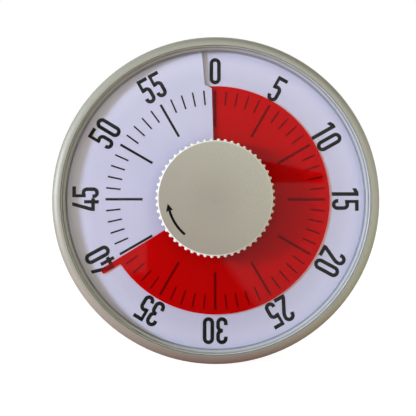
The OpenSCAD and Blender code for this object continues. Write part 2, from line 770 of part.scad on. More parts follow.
module second_wheel() {
    color("gold") stand_up() train_arbor(second_at, great_z, high_z, second_teeth, coarse_module,
        coarse_module, second_dir, third_dir);
}

module third_wheel() {
    color("gold") stand_up() train_arbor(third_at, high_z, low_z, third_teeth, fine_module,
        coarse_module, third_dir, fourth_dir);
}

module fourth_wheel() {
    color("gold") stand_up() train_arbor(fourth_at, low_z, high_z, fourth_teeth, fine_module,
        fine_module, fourth_dir, escape_dir);
}

module escape_wheel() {
    pinion_h = wheel_t + 2 * pinion_over;
    color("gold") stand_up() spot(escape_at) {
        translate([0, 0, inner_z + 0.2]) cylinder(r = rod_r, h = plate_gap - 0.4);
        translate([0, 0, pivot_start_z]) cylinder(r = pivot_r, h = pivot_end_z - pivot_start_z);
        translate([0, 0, high_z - pinion_over]) rotate(escape_dir + 180 + 180 / pinion_teeth)
            linear_extrude(pinion_h) polygon(gear_points(pinion_teeth, fine_module));
        translate([0, 0, low_z]) linear_extrude(wheel_t)
            polygon(saw_points(escape_teeth, escape_r - 2, escape_r, 9));
    }
}

// Two pallet pins stand just outside the escape wheel's tips, on an anchor that rocks
module pallet_lever() {
    pin_ring_r = escape_r + pallet_gap + pallet_pin_r;
    pins = [for (side = [-1, 1]) escape_at + polar(pin_ring_r, pallet_dir + side * pallet_span / 2)];
    anchor_z = low_z + wheel_t + 0.5;
    color("gold") stand_up() {
        spot(pallet_at, inner_z + 0.2) cylinder(r = rod_r, h = plate_gap - 0.4);
        spot(pallet_at, pivot_start_z) cylinder(r = pivot_r, h = pivot_end_z - pivot_start_z);
        translate([0, 0, anchor_z]) linear_extrude(0.8) for (p = pins) {
            along = (p - pallet_at) / norm(p - pallet_at);
            side = 0.8 * [-along[1], along[0]];
            polygon([pallet_at + side, p + side, p - side, pallet_at - side]);
            translate(p) circle(r = 0.8);
        }
        at_each(pins, low_z - 0.4) cylinder(r = pallet_pin_r, h = anchor_z - low_z + 0.8);
    }
}

module balance_wheel() {
    rim_t = 1.4;
    z = low_z + wheel_t + 1.6;
    color("gold") stand_up() spot(pallet_at, z) difference() {
        cylinder(r = balance_r, h = 2);
        translate([0, 0, -1]) difference() {
            cylinder(r = balance_r - rim_t, h = 4);
            cylinder(r = rod_r + 1.3, h = 4);
            translate([-balance_r, -0.9, 0]) cube([2 * balance_r, 1.8, 4]);
        }
        translate([0, 0, -1]) cylinder(r = rod_r + 0.01, h = 4);
    }
}

// Alarm

// The cam turns with the knob; its one notch lets the hammer go at zero
module alarm_cam() {
    notch_dir = cam_follow_dir - 6 * set_minutes;
    color("gold") stand_up() translate([0, 0, cam_z]) difference() {
        cylinder(r = cam_r, h = cam_t);
        rotate(notch_dir) translate([cam_r - 1.2, -cam_notch_w / 2, -1]) cube([3, cam_notch_w, cam_t + 2]);
        translate([0, 0, -1]) cylinder(r = arbor_r + 0.01, h = cam_t + 2);
    }
}

module hammer_lever() {
    finger_tip = polar(cam_r + 0.5, cam_follow_dir);
    color("lightsteelblue") stand_up() {
        spot(hammer_at, inner_z + 0.2) cylinder(r = rod_r, h = plate_gap - 0.4);
        spot(hammer_at, pivot_start_z) cylinder(r = pivot_r, h = pivot_end_z - pivot_start_z);
        translate([0, 0, hammer_z - 0.5]) linear_extrude(1) {
            translate(hammer_at) circle(r = 2.4);
            polygon([
                hammer_at + [-1.1, 0], hammer_head_at + [-1.1, 0],
                hammer_head_at + [1.1, 0], hammer_at + [1.1, 0]
            ]);
            translate(hammer_head_at) circle(r = 1.6);
        }
        translate([0, 0, cam_z]) linear_extrude(cam_t) {
            translate(hammer_at) circle(r = 2);
            rotate(cam_follow_dir) polygon([[norm(hammer_at), -1], [norm(finger_tip), -0.6],
                                            [norm(finger_tip), 0.6], [norm(hammer_at), 1]]);
        }
    }
}

module hammer_head() {
    color("gold") stand_up() spot(hammer_head_at, hammer_z + 0.5) cylinder(r = hammer_head_r, h = 4);
}

// A leaf spring on the back plate that holds the hammer away from the bell
module hammer_spring() {
    foot = hammer_at + [-8, -3];
    color("steelblue") stand_up() translate([0, 0, inner_z]) linear_extrude(2.4)
        polygon([foot, foot + [5.2, 5.6], foot + [4.9, 5.9], foot + [-0.3, 0.3]]);
}

module bell() {
    inner_r = bell_r - bell_t;
    dome = 7;
    function cup(r, h, steps = 8) = [for (k = [0 : steps]) let (a = 90 * k / steps)
        [r - dome + dome * cos(a), h - dome + dome * sin(a)]];
    outer = cup(bell_r, bell_h);
    inside = cup(inner_r, bell_h - bell_t);
    color("lightgray") stand_up() spot(bell_at, bell_low_z) difference() {
        rotate_extrude() polygon(concat([[bell_r, 0]], outer, [[0, bell_h], [0, bell_h - bell_t]],
            [for (k = [len(inside) - 1 : -1 : 0]) inside[k]], [[inner_r, 0]]));
        translate([0, 0, -1]) cylinder(r = screw_r + screw_gap, h = bell_h + 2);
    }
}

module bell_post() {
    color("silver") stand_up() spot(bell_at, bell_low_z)
        tube(bell_post_r, screw_r + 0.05, bell_h - bell_t);
}

module bell_screw() {
    color("silver") stand_up() spot(bell_at) {
        translate([0, 0, shell_wall + 1])
            cylinder(r = screw_r - 0.02, h = bell_low_z + bell_h - shell_wall - 1);
        translate([0, 0, bell_low_z + bell_h]) cylinder(r = screw_head_r + 1, h = 1.4);
    }
}

// Fasteners and magnets

module case_screws() {
    color("dimgray") stand_up() for (clock = screw_clocks) spot(at_clock(screw_ring_r, clock)) {
        translate([0, 0, screw_sink]) difference() {
            cylinder(r = screw_head_r, h = screw_head_h);
            for (turn = [0, 90]) rotate(turn) translate([-screw_slot_r, -screw_slot_w / 2, -1])
                cube([2 * screw_slot_r, screw_slot_w, screw_slot_deep + 1]);
        }
        translate([0, 0, screw_sink + screw_head_h - 0.1])
            cylinder(r = screw_r - 0.05, h = boss_split_z + screw_bite - screw_sink - screw_head_h + 0.1);
    }
}

module magnets() {
    color("darkgray") stand_up() at_each(magnet_at, magnet_sink) cylinder(r = magnet_r, h = magnet_h);
}

// Leg, drawn open

module opened() {
    translate([0, -hinge_drop, hinge_z]) rotate([-leg_open, 0, 0]) children();
}

module stand_leg() {
    half_root = leg_root_w / 2;
    half_foot = leg_w / 2 - leg_corner_r;
    foot_y = leg_len - leg_corner_r;
    low = leg_back_z - hinge_z;
    color("gray") stand_up() opened() difference() {
        union() {
            translate([0, 0, low]) linear_extrude(leg_t) {
                polygon([[-half_root, 0], [-half_foot - leg_corner_r, foot_y], [-half_foot, leg_len],
                         [half_foot, leg_len], [half_foot + leg_corner_r, foot_y], [half_root, 0]]);
                for (side = [-1, 1]) translate([side * half_foot, foot_y]) circle(r = leg_corner_r);
            }
            rotate([0, 90, 0]) cylinder(r = barrel_r, h = leg_root_w, center = true);
        }
        rotate([0, 90, 0]) cylinder(r = pin_r + run_gap, h = leg_w, center = true);
        for (x = [-24, -8, 8, 24]) translate([x - 5, 12, low - 1]) cube([10, leg_len - 26, 2]);
        for (side = [-1, 1]) translate([side * (half_foot - pad_len / 2 + 2), leg_len, 0])
            cube([pad_len + 2 * mould_gap, 2 * pad_r + 2 * mould_gap, 4 * pad_r], center = true);
    }
}

module leg_pin() {
    color("silver") stand_up() translate([0, -hinge_drop, hinge_z]) rotate([0, 90, 0])
        cylinder(r = pin_r, h = 2 * (pocket_half_w + pocket_cheek - 2), center = true);
}

module leg_feet() {
    half_foot = leg_w / 2 - leg_corner_r;
    color("black") stand_up() opened() for (side = [-1, 1])
        translate([side * (half_foot - pad_len / 2 + 2), leg_len, 0]) rotate([0, 90, 0])
            cylinder(r = pad_r, h = pad_len, center = true);
}

rear_shell();
front_bezel();
lens();
dial_plate();
time_disc();
disc_hub();
knob();
main_arbor();
back_plate();
front_plate();
pillars();
pillar_nuts();
movement_screws();
mainspring();
spring_post();
great_wheel();
ratchet_wheel();
click();
click_spring();
second_wheel();
third_wheel();
fourth_wheel();
escape_wheel();
pallet_lever();
balance_wheel();
alarm_cam();
hammer_lever();
hammer_head();
hammer_spring();
bell();
bell_post();
bell_screw();
case_screws();
magnets();
stand_leg();
leg_pin();
leg_feet();
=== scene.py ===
"""Looks of a sixty-minute visual countdown timer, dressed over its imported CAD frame.

The CAD nodes keep their shapes and get their finishes here. Only the lens is spun anew from its
section, finely enough for its rings to refract cleanly. The printing on the dial and the arrow on the
knob are drawn with a pen that extrudes and spins one short edge, and are laid on the surfaces that
carry them. Lengths inside the classes are millimetres unless a name ends in _m.
"""

from __future__ import annotations

import functools
import json
import logging
import math
from dataclasses import dataclass, field
from enum import Enum
from typing import Callable, Iterable, Sequence

import bmesh
import bpy
from mathutils import Euler, Matrix, Vector

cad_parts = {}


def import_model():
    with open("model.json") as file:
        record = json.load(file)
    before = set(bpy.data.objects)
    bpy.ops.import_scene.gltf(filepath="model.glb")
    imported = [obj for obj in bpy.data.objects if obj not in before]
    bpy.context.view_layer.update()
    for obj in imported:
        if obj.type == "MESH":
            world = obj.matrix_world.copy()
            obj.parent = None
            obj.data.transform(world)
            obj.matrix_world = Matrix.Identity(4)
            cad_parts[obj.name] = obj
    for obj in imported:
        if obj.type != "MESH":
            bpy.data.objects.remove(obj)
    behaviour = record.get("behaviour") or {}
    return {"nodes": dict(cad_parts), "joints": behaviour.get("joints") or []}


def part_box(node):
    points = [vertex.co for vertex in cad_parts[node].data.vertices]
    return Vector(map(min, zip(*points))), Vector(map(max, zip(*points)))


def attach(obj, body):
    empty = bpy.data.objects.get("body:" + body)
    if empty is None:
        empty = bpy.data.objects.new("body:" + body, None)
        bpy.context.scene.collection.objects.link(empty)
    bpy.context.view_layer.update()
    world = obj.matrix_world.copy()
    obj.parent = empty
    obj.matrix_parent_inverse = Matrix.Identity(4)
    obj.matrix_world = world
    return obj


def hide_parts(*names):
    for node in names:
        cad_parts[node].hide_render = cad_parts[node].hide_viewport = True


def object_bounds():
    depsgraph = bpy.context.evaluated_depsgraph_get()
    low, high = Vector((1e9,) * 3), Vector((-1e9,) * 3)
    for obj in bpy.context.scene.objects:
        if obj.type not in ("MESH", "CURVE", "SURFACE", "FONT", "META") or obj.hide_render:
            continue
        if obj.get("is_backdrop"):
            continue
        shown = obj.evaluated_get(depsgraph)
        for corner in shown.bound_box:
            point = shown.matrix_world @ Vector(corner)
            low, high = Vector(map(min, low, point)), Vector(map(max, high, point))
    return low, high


LOG = logging.getLogger("timer")
MM = 0.001
MINUTE_DEG = 6
FIVE_MINUTES = range(0, 60, 5)

Colour = tuple[float, float, float]


class Slot(Enum):
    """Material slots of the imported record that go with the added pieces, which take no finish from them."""

    SILVER_KNOB = "silver_knob"
    CLEAR_LENS = "clear_lens"
    WHITE_DIAL = "white_dial"


class Body(Enum):
    """CAD bodies that the added pieces ride on."""

    CASE = "case"
    KNOB = "knob_body"


# --------------------------------------------------------------------------------------------------
# The dial's own frame
# --------------------------------------------------------------------------------------------------


@dataclass(frozen=True)
class DialFrame:
    """Frame of the dial: x to the right, y to the zero mark, z out to the reader.

    Args:
        origin: Point of the dial's axis on the plane of the case's back, in metres.
        tilt: Angle between the frame's y and the world's y, in radians.
    """

    origin: Vector
    tilt: float

    @classmethod
    def from_joints(cls, joints: Sequence[dict], joint_height_m: float = 0.030) -> DialFrame:
        """Reads the frame off the joint that turns the knob.

        Args:
            joints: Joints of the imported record.
            joint_height_m: Height of that joint's point over the case's back.

        Returns:
            The dial's frame.
        """
        knob_turn = next(j for j in joints if j["name"] == "knob_turn")
        inwards = Vector(knob_turn["axis"]).normalized()
        origin = Vector(knob_turn["pos_m"]) + inwards * joint_height_m
        return cls(origin, math.atan2(inwards.y, -inwards.z))

    @property
    def turn(self) -> Euler:
        """Rotation from the dial's frame to the world, as Mapping nodes take it."""
        return Euler((self.tilt, 0.0, 0.0))

    @property
    def matrix(self) -> Matrix:
        """Takes a point in millimetres in the dial's frame to metres in the world."""
        return Matrix.Translation(self.origin) @ self.turn.to_matrix().to_4x4() @ Matrix.Scale(MM, 4)


# --------------------------------------------------------------------------------------------------
# Material trees
# --------------------------------------------------------------------------------------------------


class Tree:
    """Short calls that place and join the nodes of one node tree."""

    def __init__(self, nodes: bpy.types.NodeTree) -> None:
        """Takes the tree that the nodes go in."""
        self.tree = nodes

    def add(self, kind: str, inputs: dict | None = None, **settings: object) -> bpy.types.Node:
        """Places one node.

        Args:
            kind: Node type without the leading "ShaderNode".
            inputs: Values or sockets for the node's inputs, by name or number.
            **settings: Properties of the node.

        Returns:
            The new node.
        """
        node = self.tree.nodes.new("ShaderNode" + kind)
        for name, value in settings.items():
            setattr(node, name, value)
        for name, value in (inputs or {}).items():
            self.feed(node.inputs[name], value)
        return node

    def feed(self, socket: bpy.types.NodeSocket, value: object) -> None:
        """Joins an output to a socket, or sets the socket's own value."""
        if isinstance(value, bpy.types.NodeSocket):
            self.tree.links.new(value, socket)
        elif isinstance(value, (tuple, list)) and len(value) == 3 and socket.type == "RGBA":
            socket.default_value = (*value, 1.0)
        else:
            socket.default_value = value

    def math(self, operation: str, *values: object) -> bpy.types.NodeSocket:
        """Places a Math node and gives its output."""
        return self.add("Math", dict(enumerate(values)), operation=operation).outputs[0]

    def span(self, value: object, low: float, high: float, full: float = 1.0) -> bpy.types.NodeSocket:
        """Gives 0 where a value is at low, full where it is at high, and a straight rise between."""
        inputs = {"Value": value, "From Min": low, "From Max": high, "To Min": 0.0, "To Max": full}
        return self.add("MapRange", inputs).outputs["Result"]

    def scaled(self, vector: object, factor: object) -> bpy.types.NodeSocket:
        """Multiplies a vector or colour by a number."""
        return self.add("VectorMath", {0: vector, "Scale": factor}, operation="SCALE").outputs[0]

    def sum(self, first: object, second: object) -> bpy.types.NodeSocket:
        """Adds two vectors or colours."""
        return self.add("VectorMath", {0: first, 1: second}, operation="ADD").outputs[0]

    def unit(self, vector: object) -> bpy.types.NodeSocket:
        """Gives a vector's direction, with a length of 1."""
        return self.add("VectorMath", {0: vector}, operation="NORMALIZE").outputs[0]

    def length(self, vector: object) -> bpy.types.NodeSocket:
        """Gives a vector's length."""
        return self.add("VectorMath", {0: vector}, operation="LENGTH").outputs["Value"]

    def dot(self, first: object, second: object) -> bpy.types.NodeSocket:
        """Gives the dot product of two vectors."""
        return self.add("VectorMath", {0: first, 1: second}, operation="DOT_PRODUCT").outputs["Value"]

    def blend(self, share: object, first: object, second: object, mode: str = "MIX") -> bpy.types.NodeSocket:
        """Mixes two colours and gives the output."""
        node = self.add("Mix", data_type="RGBA", blend_type=mode)
        for number, value in ((0, share), (6, first), (7, second)):
            self.feed(node.inputs[number], value)
        return node.outputs[2]


class Effect(Tree):
    """A shader node group with named inputs and outputs."""

    KINDS = {"value": "NodeSocketFloat", "colour": "NodeSocketColor", "vector": "NodeSocketVector"}

    def __init__(self, name: str, inputs: dict[str, object], outputs: dict[str, str]) -> None:
        """Makes the group's sockets.

        Args:
            name: Name of the group.
            inputs: Default of each input: a number, a colour of four numbers, or None for a vector.
            outputs: Kind of each output: value, colour or vector.
        """
        group = bpy.data.node_groups.new(name, "ShaderNodeTree")
        for label, default in inputs.items():
            kind = "vector" if default is None else "value" if isinstance(default, (int, float)) else "colour"
            socket = group.interface.new_socket(label, in_out="INPUT", socket_type=self.KINDS[kind])
            if default is not None:
                socket.default_value = default
        for label, kind in outputs.items():
            group.interface.new_socket(label, in_out="OUTPUT", socket_type=self.KINDS[kind])
        super().__init__(group)
        self.given = group.nodes.new("NodeGroupInput").outputs
        self.put = group.nodes.new("NodeGroupOutput").inputs

    def per_metre(self, label: str) -> bpy.types.NodeSocket:
        """Gives how often the length in an input goes into a metre, as a texture's scale."""
        return self.math("DIVIDE", 1.0, self.given[label])

    def noise(self, scale: object, **shape: float) -> bpy.types.NodeSocket:
        """Places a noise on the group's vector and gives its strength."""
        inputs = {"Vector": self.given["Vector"], "Scale": scale, **shape}
        return self.add("TexNoise", inputs).outputs["Fac"]

    def cells(self, scale: object, **settings: object) -> bpy.types.NodeOutputs:
        """Places a pattern of cells on the group's vector and gives its outputs."""
        return self.add("TexVoronoi", {"Vector": self.given["Vector"], "Scale": scale}, **settings).outputs


class Effects:
    """The surface effects that several finishes share, each built once."""

    def __init__(self) -> None:
        """Builds every effect."""
        self.grain = self._grain()
        self.flake = self._flake()
        self.drift = self._drift()
        self.turning = self._turning()
        self.brushing = self._brushing()
        self.rub = self._rub()
        self.dust = self._dust()

    @staticmethod
    def _grain() -> bpy.types.NodeTree:
        """Fine pebbled grain of a moulded or sprayed surface. Size is metres across one grain."""
        e = Effect(
            "pebbled_grain",
            {"Vector": None, "Size": 0.0006, "Roughness": 0.5, "Spread": 0.1},
            {"Height": "value", "Roughness": "value"},
        )
        scale = e.per_metre("Size")
        fine = e.noise(scale, Detail=3.0, Roughness=0.6)
        pebble = e.cells(scale, feature="SMOOTH_F1")["Distance"]
        e.feed(e.put["Height"], e.span(e.math("MULTIPLY", fine, pebble), 0.05, 0.5))
        patch = e.noise(e.math("MULTIPLY", scale, 0.02), Detail=4.0)
        centred = e.math("SUBTRACT", patch, 0.5)
        swing = e.math("MULTIPLY", centred, e.given["Spread"])
        e.feed(e.put["Roughness"], e.math("ADD", e.given["Roughness"], swing))
        return e.tree

    @staticmethod
    def _flake() -> bpy.types.NodeTree:
        """Flakes of aluminium in a silver paint: a brightness and a tilt of its own for each cell."""
        e = Effect(
            "silver_flake",
            {"Vector": None, "Size": 0.0004, "Colour": (0.5, 0.5, 0.45, 1.0), "Glitter": 0.3, "Tilt": 0.15},
            {"Colour": "colour", "Normal": "vector"},
        )
        cell = e.cells(e.per_metre("Size"))["Color"]
        spark = e.math("POWER", e.add("SeparateColor", {"Color": cell}).outputs[0], 3.0)
        centred = e.math("SUBTRACT", spark, 0.25)
        level = e.math("MULTIPLY_ADD", centred, e.given["Glitter"], 1.0)
        tone = e.add("CombineColor", {0: level, 1: level, 2: level}).outputs[0]
        e.feed(e.put["Colour"], e.blend(1.0, e.given["Colour"], tone, "MULTIPLY"))
        aside = e.add("VectorMath", {0: cell, 1: (0.5, 0.5, 0.5)}, operation="SUBTRACT").outputs[0]
        facing = e.add("NewGeometry").outputs["Normal"]
        e.feed(e.put["Normal"], e.unit(e.sum(facing, e.scaled(aside, e.given["Tilt"]))))
        return e.tree

    @staticmethod
    def _drift() -> bpy.types.NodeTree:
        """Slow drift of a colour's tone over centimetres, as handling and moulding leave it."""
        e = Effect(
            "tone_drift",
            {"Vector": None, "Colour": (0.5, 0.5, 0.5, 1.0), "Second": (0.5, 0.5, 0.5, 1.0), "Size": 0.03},
            {"Colour": "colour"},
        )
        cloud = e.noise(e.per_metre("Size"), Detail=5.0, Roughness=0.55)
        e.feed(e.put["Colour"], e.blend(e.span(cloud, 0.35, 0.65), e.given["Colour"], e.given["Second"]))
        return e.tree

    @staticmethod
    def _turning() -> bpy.types.NodeTree:
        """Rings that a lathe tool leaves round the z axis of the vector."""
        e = Effect(
            "turning_rings",
            {"Vector": None, "Pitch": 0.0004},
            {"Height": "value", "Line": "value"},
        )
        part = e.add("SeparateXYZ", {"Vector": e.given["Vector"]})
        flat = e.add("CombineXYZ", {"X": part.outputs["X"], "Y": part.outputs["Y"]})
        step = e.math("DIVIDE", e.length(flat.outputs[0]), e.given["Pitch"])
        place = e.add("CombineXYZ", {"X": step}).outputs[0]
        uneven = e.add("TexNoise", {"Vector": place, "Scale": 0.7, "Detail": 3.0}).outputs["Fac"]
        wave = e.math("SINE", e.math("MULTIPLY", step, 2 * math.pi))
        cut = e.math("MULTIPLY_ADD", wave, 0.25, 0.5)
        e.feed(e.put["Height"], e.math("MULTIPLY", cut, uneven))
        e.feed(e.put["Line"], e.span(uneven, 0.38, 0.62))
        return e.tree

    @staticmethod
    def _brushing() -> bpy.types.NodeTree:
        """Fine straight lines along the x axis of the vector, as an abrasive belt leaves them."""
        e = Effect(
            "brushed_lines",
            {"Vector": None, "Pitch": 0.0002},
            {"Height": "value", "Line": "value"},
        )
        drawn = e.add("VectorMath", {0: e.given["Vector"], 1: (0.03, 1.0, 1.0)}, operation="MULTIPLY")
        inputs = {"Vector": drawn.outputs[0], "Scale": e.per_metre("Pitch"), "Detail": 4.0}
        lines = e.add("TexNoise", inputs).outputs["Fac"]
        e.feed(e.put["Height"], lines)
        e.feed(e.put["Line"], e.span(lines, 0.35, 0.65))
        return e.tree

    @staticmethod
    def _rub() -> bpy.types.NodeTree:
        """Mask of scattered rubbed spots and short scuffs."""
        e = Effect(
            "rubbed_spots",
            {"Vector": None, "Size": 0.012, "Cover": 0.2},
            {"Mask": "value"},
        )
        spots = e.noise(e.per_metre("Size"), Detail=8.0, Roughness=0.7)
        edge = e.math("SUBTRACT", 0.72, e.math("MULTIPLY", e.given["Cover"], 0.4))
        rise = e.math("SUBTRACT", spots, edge)
        e.feed(e.put["Mask"], e.span(rise, 0.0, 0.1))
        return e.tree

    @staticmethod
    def _dust() -> bpy.types.NodeTree:
        """Mask of single pale specks, one in some of the cells of a grid that is Size metres wide."""
        e = Effect(
            "dust_specks",
            {"Vector": None, "Size": 0.007, "Speck": 0.03, "Share": 0.4},
            {"Mask": "value"},
        )
        cell = e.cells(e.per_metre("Size"))
        lot = e.add("SeparateColor", {"Color": cell["Color"]}).outputs[1]
        chosen = e.math("LESS_THAN", lot, e.given["Share"])
        near = e.math("SUBTRACT", e.given["Speck"], cell["Distance"])
        e.feed(e.put["Mask"], e.math("MULTIPLY", chosen, e.span(near, 0.0, 0.01)))
        return e.tree


class Shade(Tree):
    """The node tree of one material, with its surface coordinates ready."""

    def __init__(self, name: str, effects: Effects, centre_m: Vector, turn: Euler) -> None:
        """Makes the material.

        Args:
            name: Name of the material.
            effects: The shared effects.
            centre_m: Point in the world that the pattern is centred on.
            turn: Rotation from the pattern's axes to the world's.
        """
        self.material = bpy.data.materials.new(name)
        self.material.use_nodes = True
        super().__init__(self.material.node_tree)
        self.tree.nodes.clear()
        self.effects = effects
        self.turn = turn
        place = self.add("TexCoord").outputs["Object"]
        mapping = {"Vector": place, "Location": tuple(centre_m), "Rotation": tuple(turn)}
        self.at = self.add("Mapping", mapping, vector_type="TEXTURE").outputs[0]

    def effect(self, group: bpy.types.NodeTree, **inputs: object) -> bpy.types.NodeOutputs:
        """Places a shared effect on this material's coordinates and gives its outputs."""
        node = self.tree.nodes.new("ShaderNodeGroup")
        node.node_tree = group
        self.feed(node.inputs["Vector"], self.at)
        for name, value in inputs.items():
            self.feed(node.inputs[name], value)
        return node.outputs

    def outward(self) -> bpy.types.NodeSocket:
        """Gives the way from the pattern's z axis to the surface, in metres along the pattern's axes."""
        return self.add("VectorMath", {0: self.at, 1: (1.0, 1.0, 0.0)}, operation="MULTIPLY").outputs[0]

    def radius(self) -> bpy.types.NodeSocket:
        """Gives the distance from the pattern's z axis, in metres."""
        return self.length(self.outward())

    def lean(self, normal: object, way: object, share: float) -> bpy.types.NodeSocket:
        """Leans a normal along a way given in the pattern's axes, by a share of that way's length."""
        turned = {"Vector": way, "Rotation": tuple(self.turn)}
        world = self.add("Mapping", turned, vector_type="VECTOR").outputs[0]
        return self.unit(self.sum(normal, self.scaled(world, share)))

    def bump(self, height: object, depth_m: float, normal: object | None = None) -> bpy.types.NodeSocket:
        """Turns a height of 0 to 1 into a normal, with the relief's full depth in metres."""
        inputs = {"Height": height, "Distance": depth_m, "Strength": 1.0}
        if normal is not None:
            inputs["Normal"] = normal
        return self.add("Bump", inputs).outputs[0]

    def principled(
        self, colour: object, roughness: object, normal: object, metal: object = 0.0, specular: float = 0.5
    ) -> bpy.types.NodeSocket:
        """Places an opaque shader.

        Args:
            colour: Its colour.
            roughness: Its roughness.
            normal: Its normal.
            metal: Share of metal.
            specular: Strength of the gloss on what isn't metal.

        Returns:
            The shader's output.
        """
        inputs = {"Base Color": colour, "Metallic": metal, "Roughness": roughness, "Normal": normal}
        return self.add("BsdfPrincipled", {**inputs, "Specular IOR Level": specular}).outputs[0]


# --------------------------------------------------------------------------------------------------
# Finishes
# --------------------------------------------------------------------------------------------------


@dataclass(frozen=True)
class Finish:
    """A finish, which makes a material of its own name."""

    name: str

    def build(self, effects: Effects, centre_m: Vector, turn: Euler) -> bpy.types.Material:
        """Makes the material.

        Args:
            effects: The shared effects.
            centre_m: Point in the world that the pattern is centred on.
            turn: Rotation from the pattern's axes to the world's.

        Returns:
            The material.
        """
        s = Shade(self.name, effects, centre_m, turn)
        s.add("OutputMaterial", {"Surface": self.surface(s)})
        return s.material

    def surface(self, s: Shade) -> bpy.types.NodeSocket:
        """Places the nodes of the surface and gives its shader."""
        raise NotImplementedError


@dataclass(frozen=True)
class TonedFinish(Finish):
    """A finish whose colour drifts slowly to a second one."""

    colour: Colour
    second: Colour

    def tone(self, s: Shade, size_m: float) -> bpy.types.NodeSocket:
        """Gives the colour, with patches of the second about as wide as size_m."""
        drift = s.effect(s.effects.drift, Colour=self.colour, Second=self.second, Size=size_m)
        return drift["Colour"]


@dataclass(frozen=True)
class HandWear:
    """Painted light on a knob: shade painted on the face, ribs painted pale, partly as a highlight.

    Args:
        faded: Colour of the shade painted on the face, in the middle and at the lower left.
        reach_mm: Distance from the axis, down to the left, at which the painted shade is full.
        middle_mm: Radius to which the painted shade of the middle reaches.
        middle_share: How much painted shade the middle adds.
        ribs_from_mm: Radius at which the ribs begin.
        ribs_least: Share of the ribs' pale paint, partly a painted highlight, that the ribs at the upper
            right still have.
        metal_lost: Share of the flakes' metal that the ribs lose, so that their painted highlight shows.
        rounded: Way in which the ribs' shading normals lean, towards the front and the lower left, so that
            they take more light.
    """

    faded: Colour
    reach_mm: float = 34.0
    middle_mm: float = 20.0
    middle_share: float = 0.45
    ribs_from_mm: float = 32.2
    ribs_least: float = 0.4
    metal_lost: float = 0.9
    rounded: tuple[float, float, float] = (-0.6, -0.3, 1.2)

    def lower_left(self, s: Shade) -> bpy.types.NodeSocket:
        """Gives a mask that rises from 0 at the upper right to 1 at the lower left."""
        return s.span(s.dot(s.at, (0.7, 0.7, 0.0)), self.reach_mm * MM, -self.reach_mm * MM)

    def ribs(self, s: Shade) -> bpy.types.NodeSocket:
        """Gives the mask of the ribs."""
        return s.span(s.radius(), self.ribs_from_mm * MM, (self.ribs_from_mm + 0.5) * MM)

    def colour(self, s: Shade, sound: object, rubbed: Colour) -> bpy.types.NodeSocket:
        """Paints shade on the face, and paints the ribs pale, partly as a highlight.

        Args:
            s: The paint's nodes.
            sound: Colour of the sound paint.
            rubbed: Colour of rubbed paint, and of the ribs' pale paint, which is partly a painted highlight.

        Returns:
            The paint's colour, with its painted shade and highlight.
        """
        corner = self.lower_left(s)
        middle = s.span(s.radius(), self.middle_mm * MM, 0.1 * self.middle_mm * MM)
        face = s.blend(s.math("MULTIPLY_ADD", middle, self.middle_share, corner), sound, self.faded)
        rib_highlight_share = s.math("MULTIPLY_ADD", corner, 1.0 - self.ribs_least, self.ribs_least)
        return s.blend(s.math("MULTIPLY", self.ribs(s), rib_highlight_share), face, rubbed)

    def metal(self, s: Shade, sound: float) -> bpy.types.NodeSocket:
        """Gives how metallic the paint is, with less metal on the ribs, from the sound paint's metal."""
        return s.math("MULTIPLY_ADD", self.ribs(s), -self.metal_lost * sound, sound)

    def normal(self, s: Shade, sound: object) -> bpy.types.NodeSocket:
        """Rounds the ribs' edges in the sound paint's normal."""
        return s.lean(sound, s.scaled(self.rounded, self.ribs(s)), 1.0)


@dataclass(frozen=True)
class SilverPaint(TonedFinish):
    """Silver paint with aluminium flake, sprayed on moulded plastic.

    Args:
        name: Name of the material.
        colour: Its colour.
        second: The colour that it drifts to.
        roughness: Roughness of the sprayed surface.
        metal: Share of metal in it.
        flake_mm: Width of a flake.
        glitter: How much the flakes differ in brightness.
        tilt: How much they differ in tilt.
        peel_mm: Width of the spray's texture.
        relief_mm: Depth of that texture.
        rubbed: Colour where it is rubbed; on a knob also the ribs' pale paint, which is partly a painted
            highlight.
        dust: Colour of the specks of dust on it.
        crown: How far a flat face's normal leans outwards, for each metre from the axis.
        wear: Shade and highlight painted on a knob's face and ribs.
    """

    roughness: float = 0.42
    metal: float = 0.6
    flake_mm: float = 0.45
    glitter: float = 0.10
    tilt: float = 0.08
    peel_mm: float = 1.6
    relief_mm: float = 0.010
    rubbed: Colour = (0.50, 0.50, 0.47)
    dust: Colour = (0.85, 0.85, 0.82)
    crown: float = 0.0
    wear: HandWear | None = None

    def surface(self, s: Shade) -> bpy.types.NodeSocket:
        """Drifting tone, flakes with their own tilt, the spray's texture and dust."""
        flakes = {"Size": self.flake_mm * MM, "Glitter": self.glitter, "Tilt": self.tilt}
        flake = s.effect(s.effects.flake, Colour=self.tone(s, size_m=0.06), **flakes)
        grain = s.effect(s.effects.grain, Size=self.peel_mm * MM, Roughness=self.roughness, Spread=0.10)
        scuffs = s.effect(s.effects.rub, Size=0.02, Cover=0.12)["Mask"]
        colour = s.blend(s.math("MULTIPLY", scuffs, 0.10), flake["Colour"], self.rubbed)
        normal = s.lean(flake["Normal"], s.outward(), self.crown)
        metal = self.metal
        # On a knob: shade painted on the face, and ribs painted pale, partly as a highlight.
        if self.wear is not None:
            colour = self.wear.colour(s, colour, self.rubbed)
            normal = self.wear.normal(s, normal)
            metal = self.wear.metal(s, self.metal)
        specks = s.math("MULTIPLY", s.effect(s.effects.dust)["Mask"], 0.6)
        relief = s.bump(grain["Height"], self.relief_mm * MM, normal)
        return s.principled(s.blend(specks, colour, self.dust), grain["Roughness"], relief, metal)


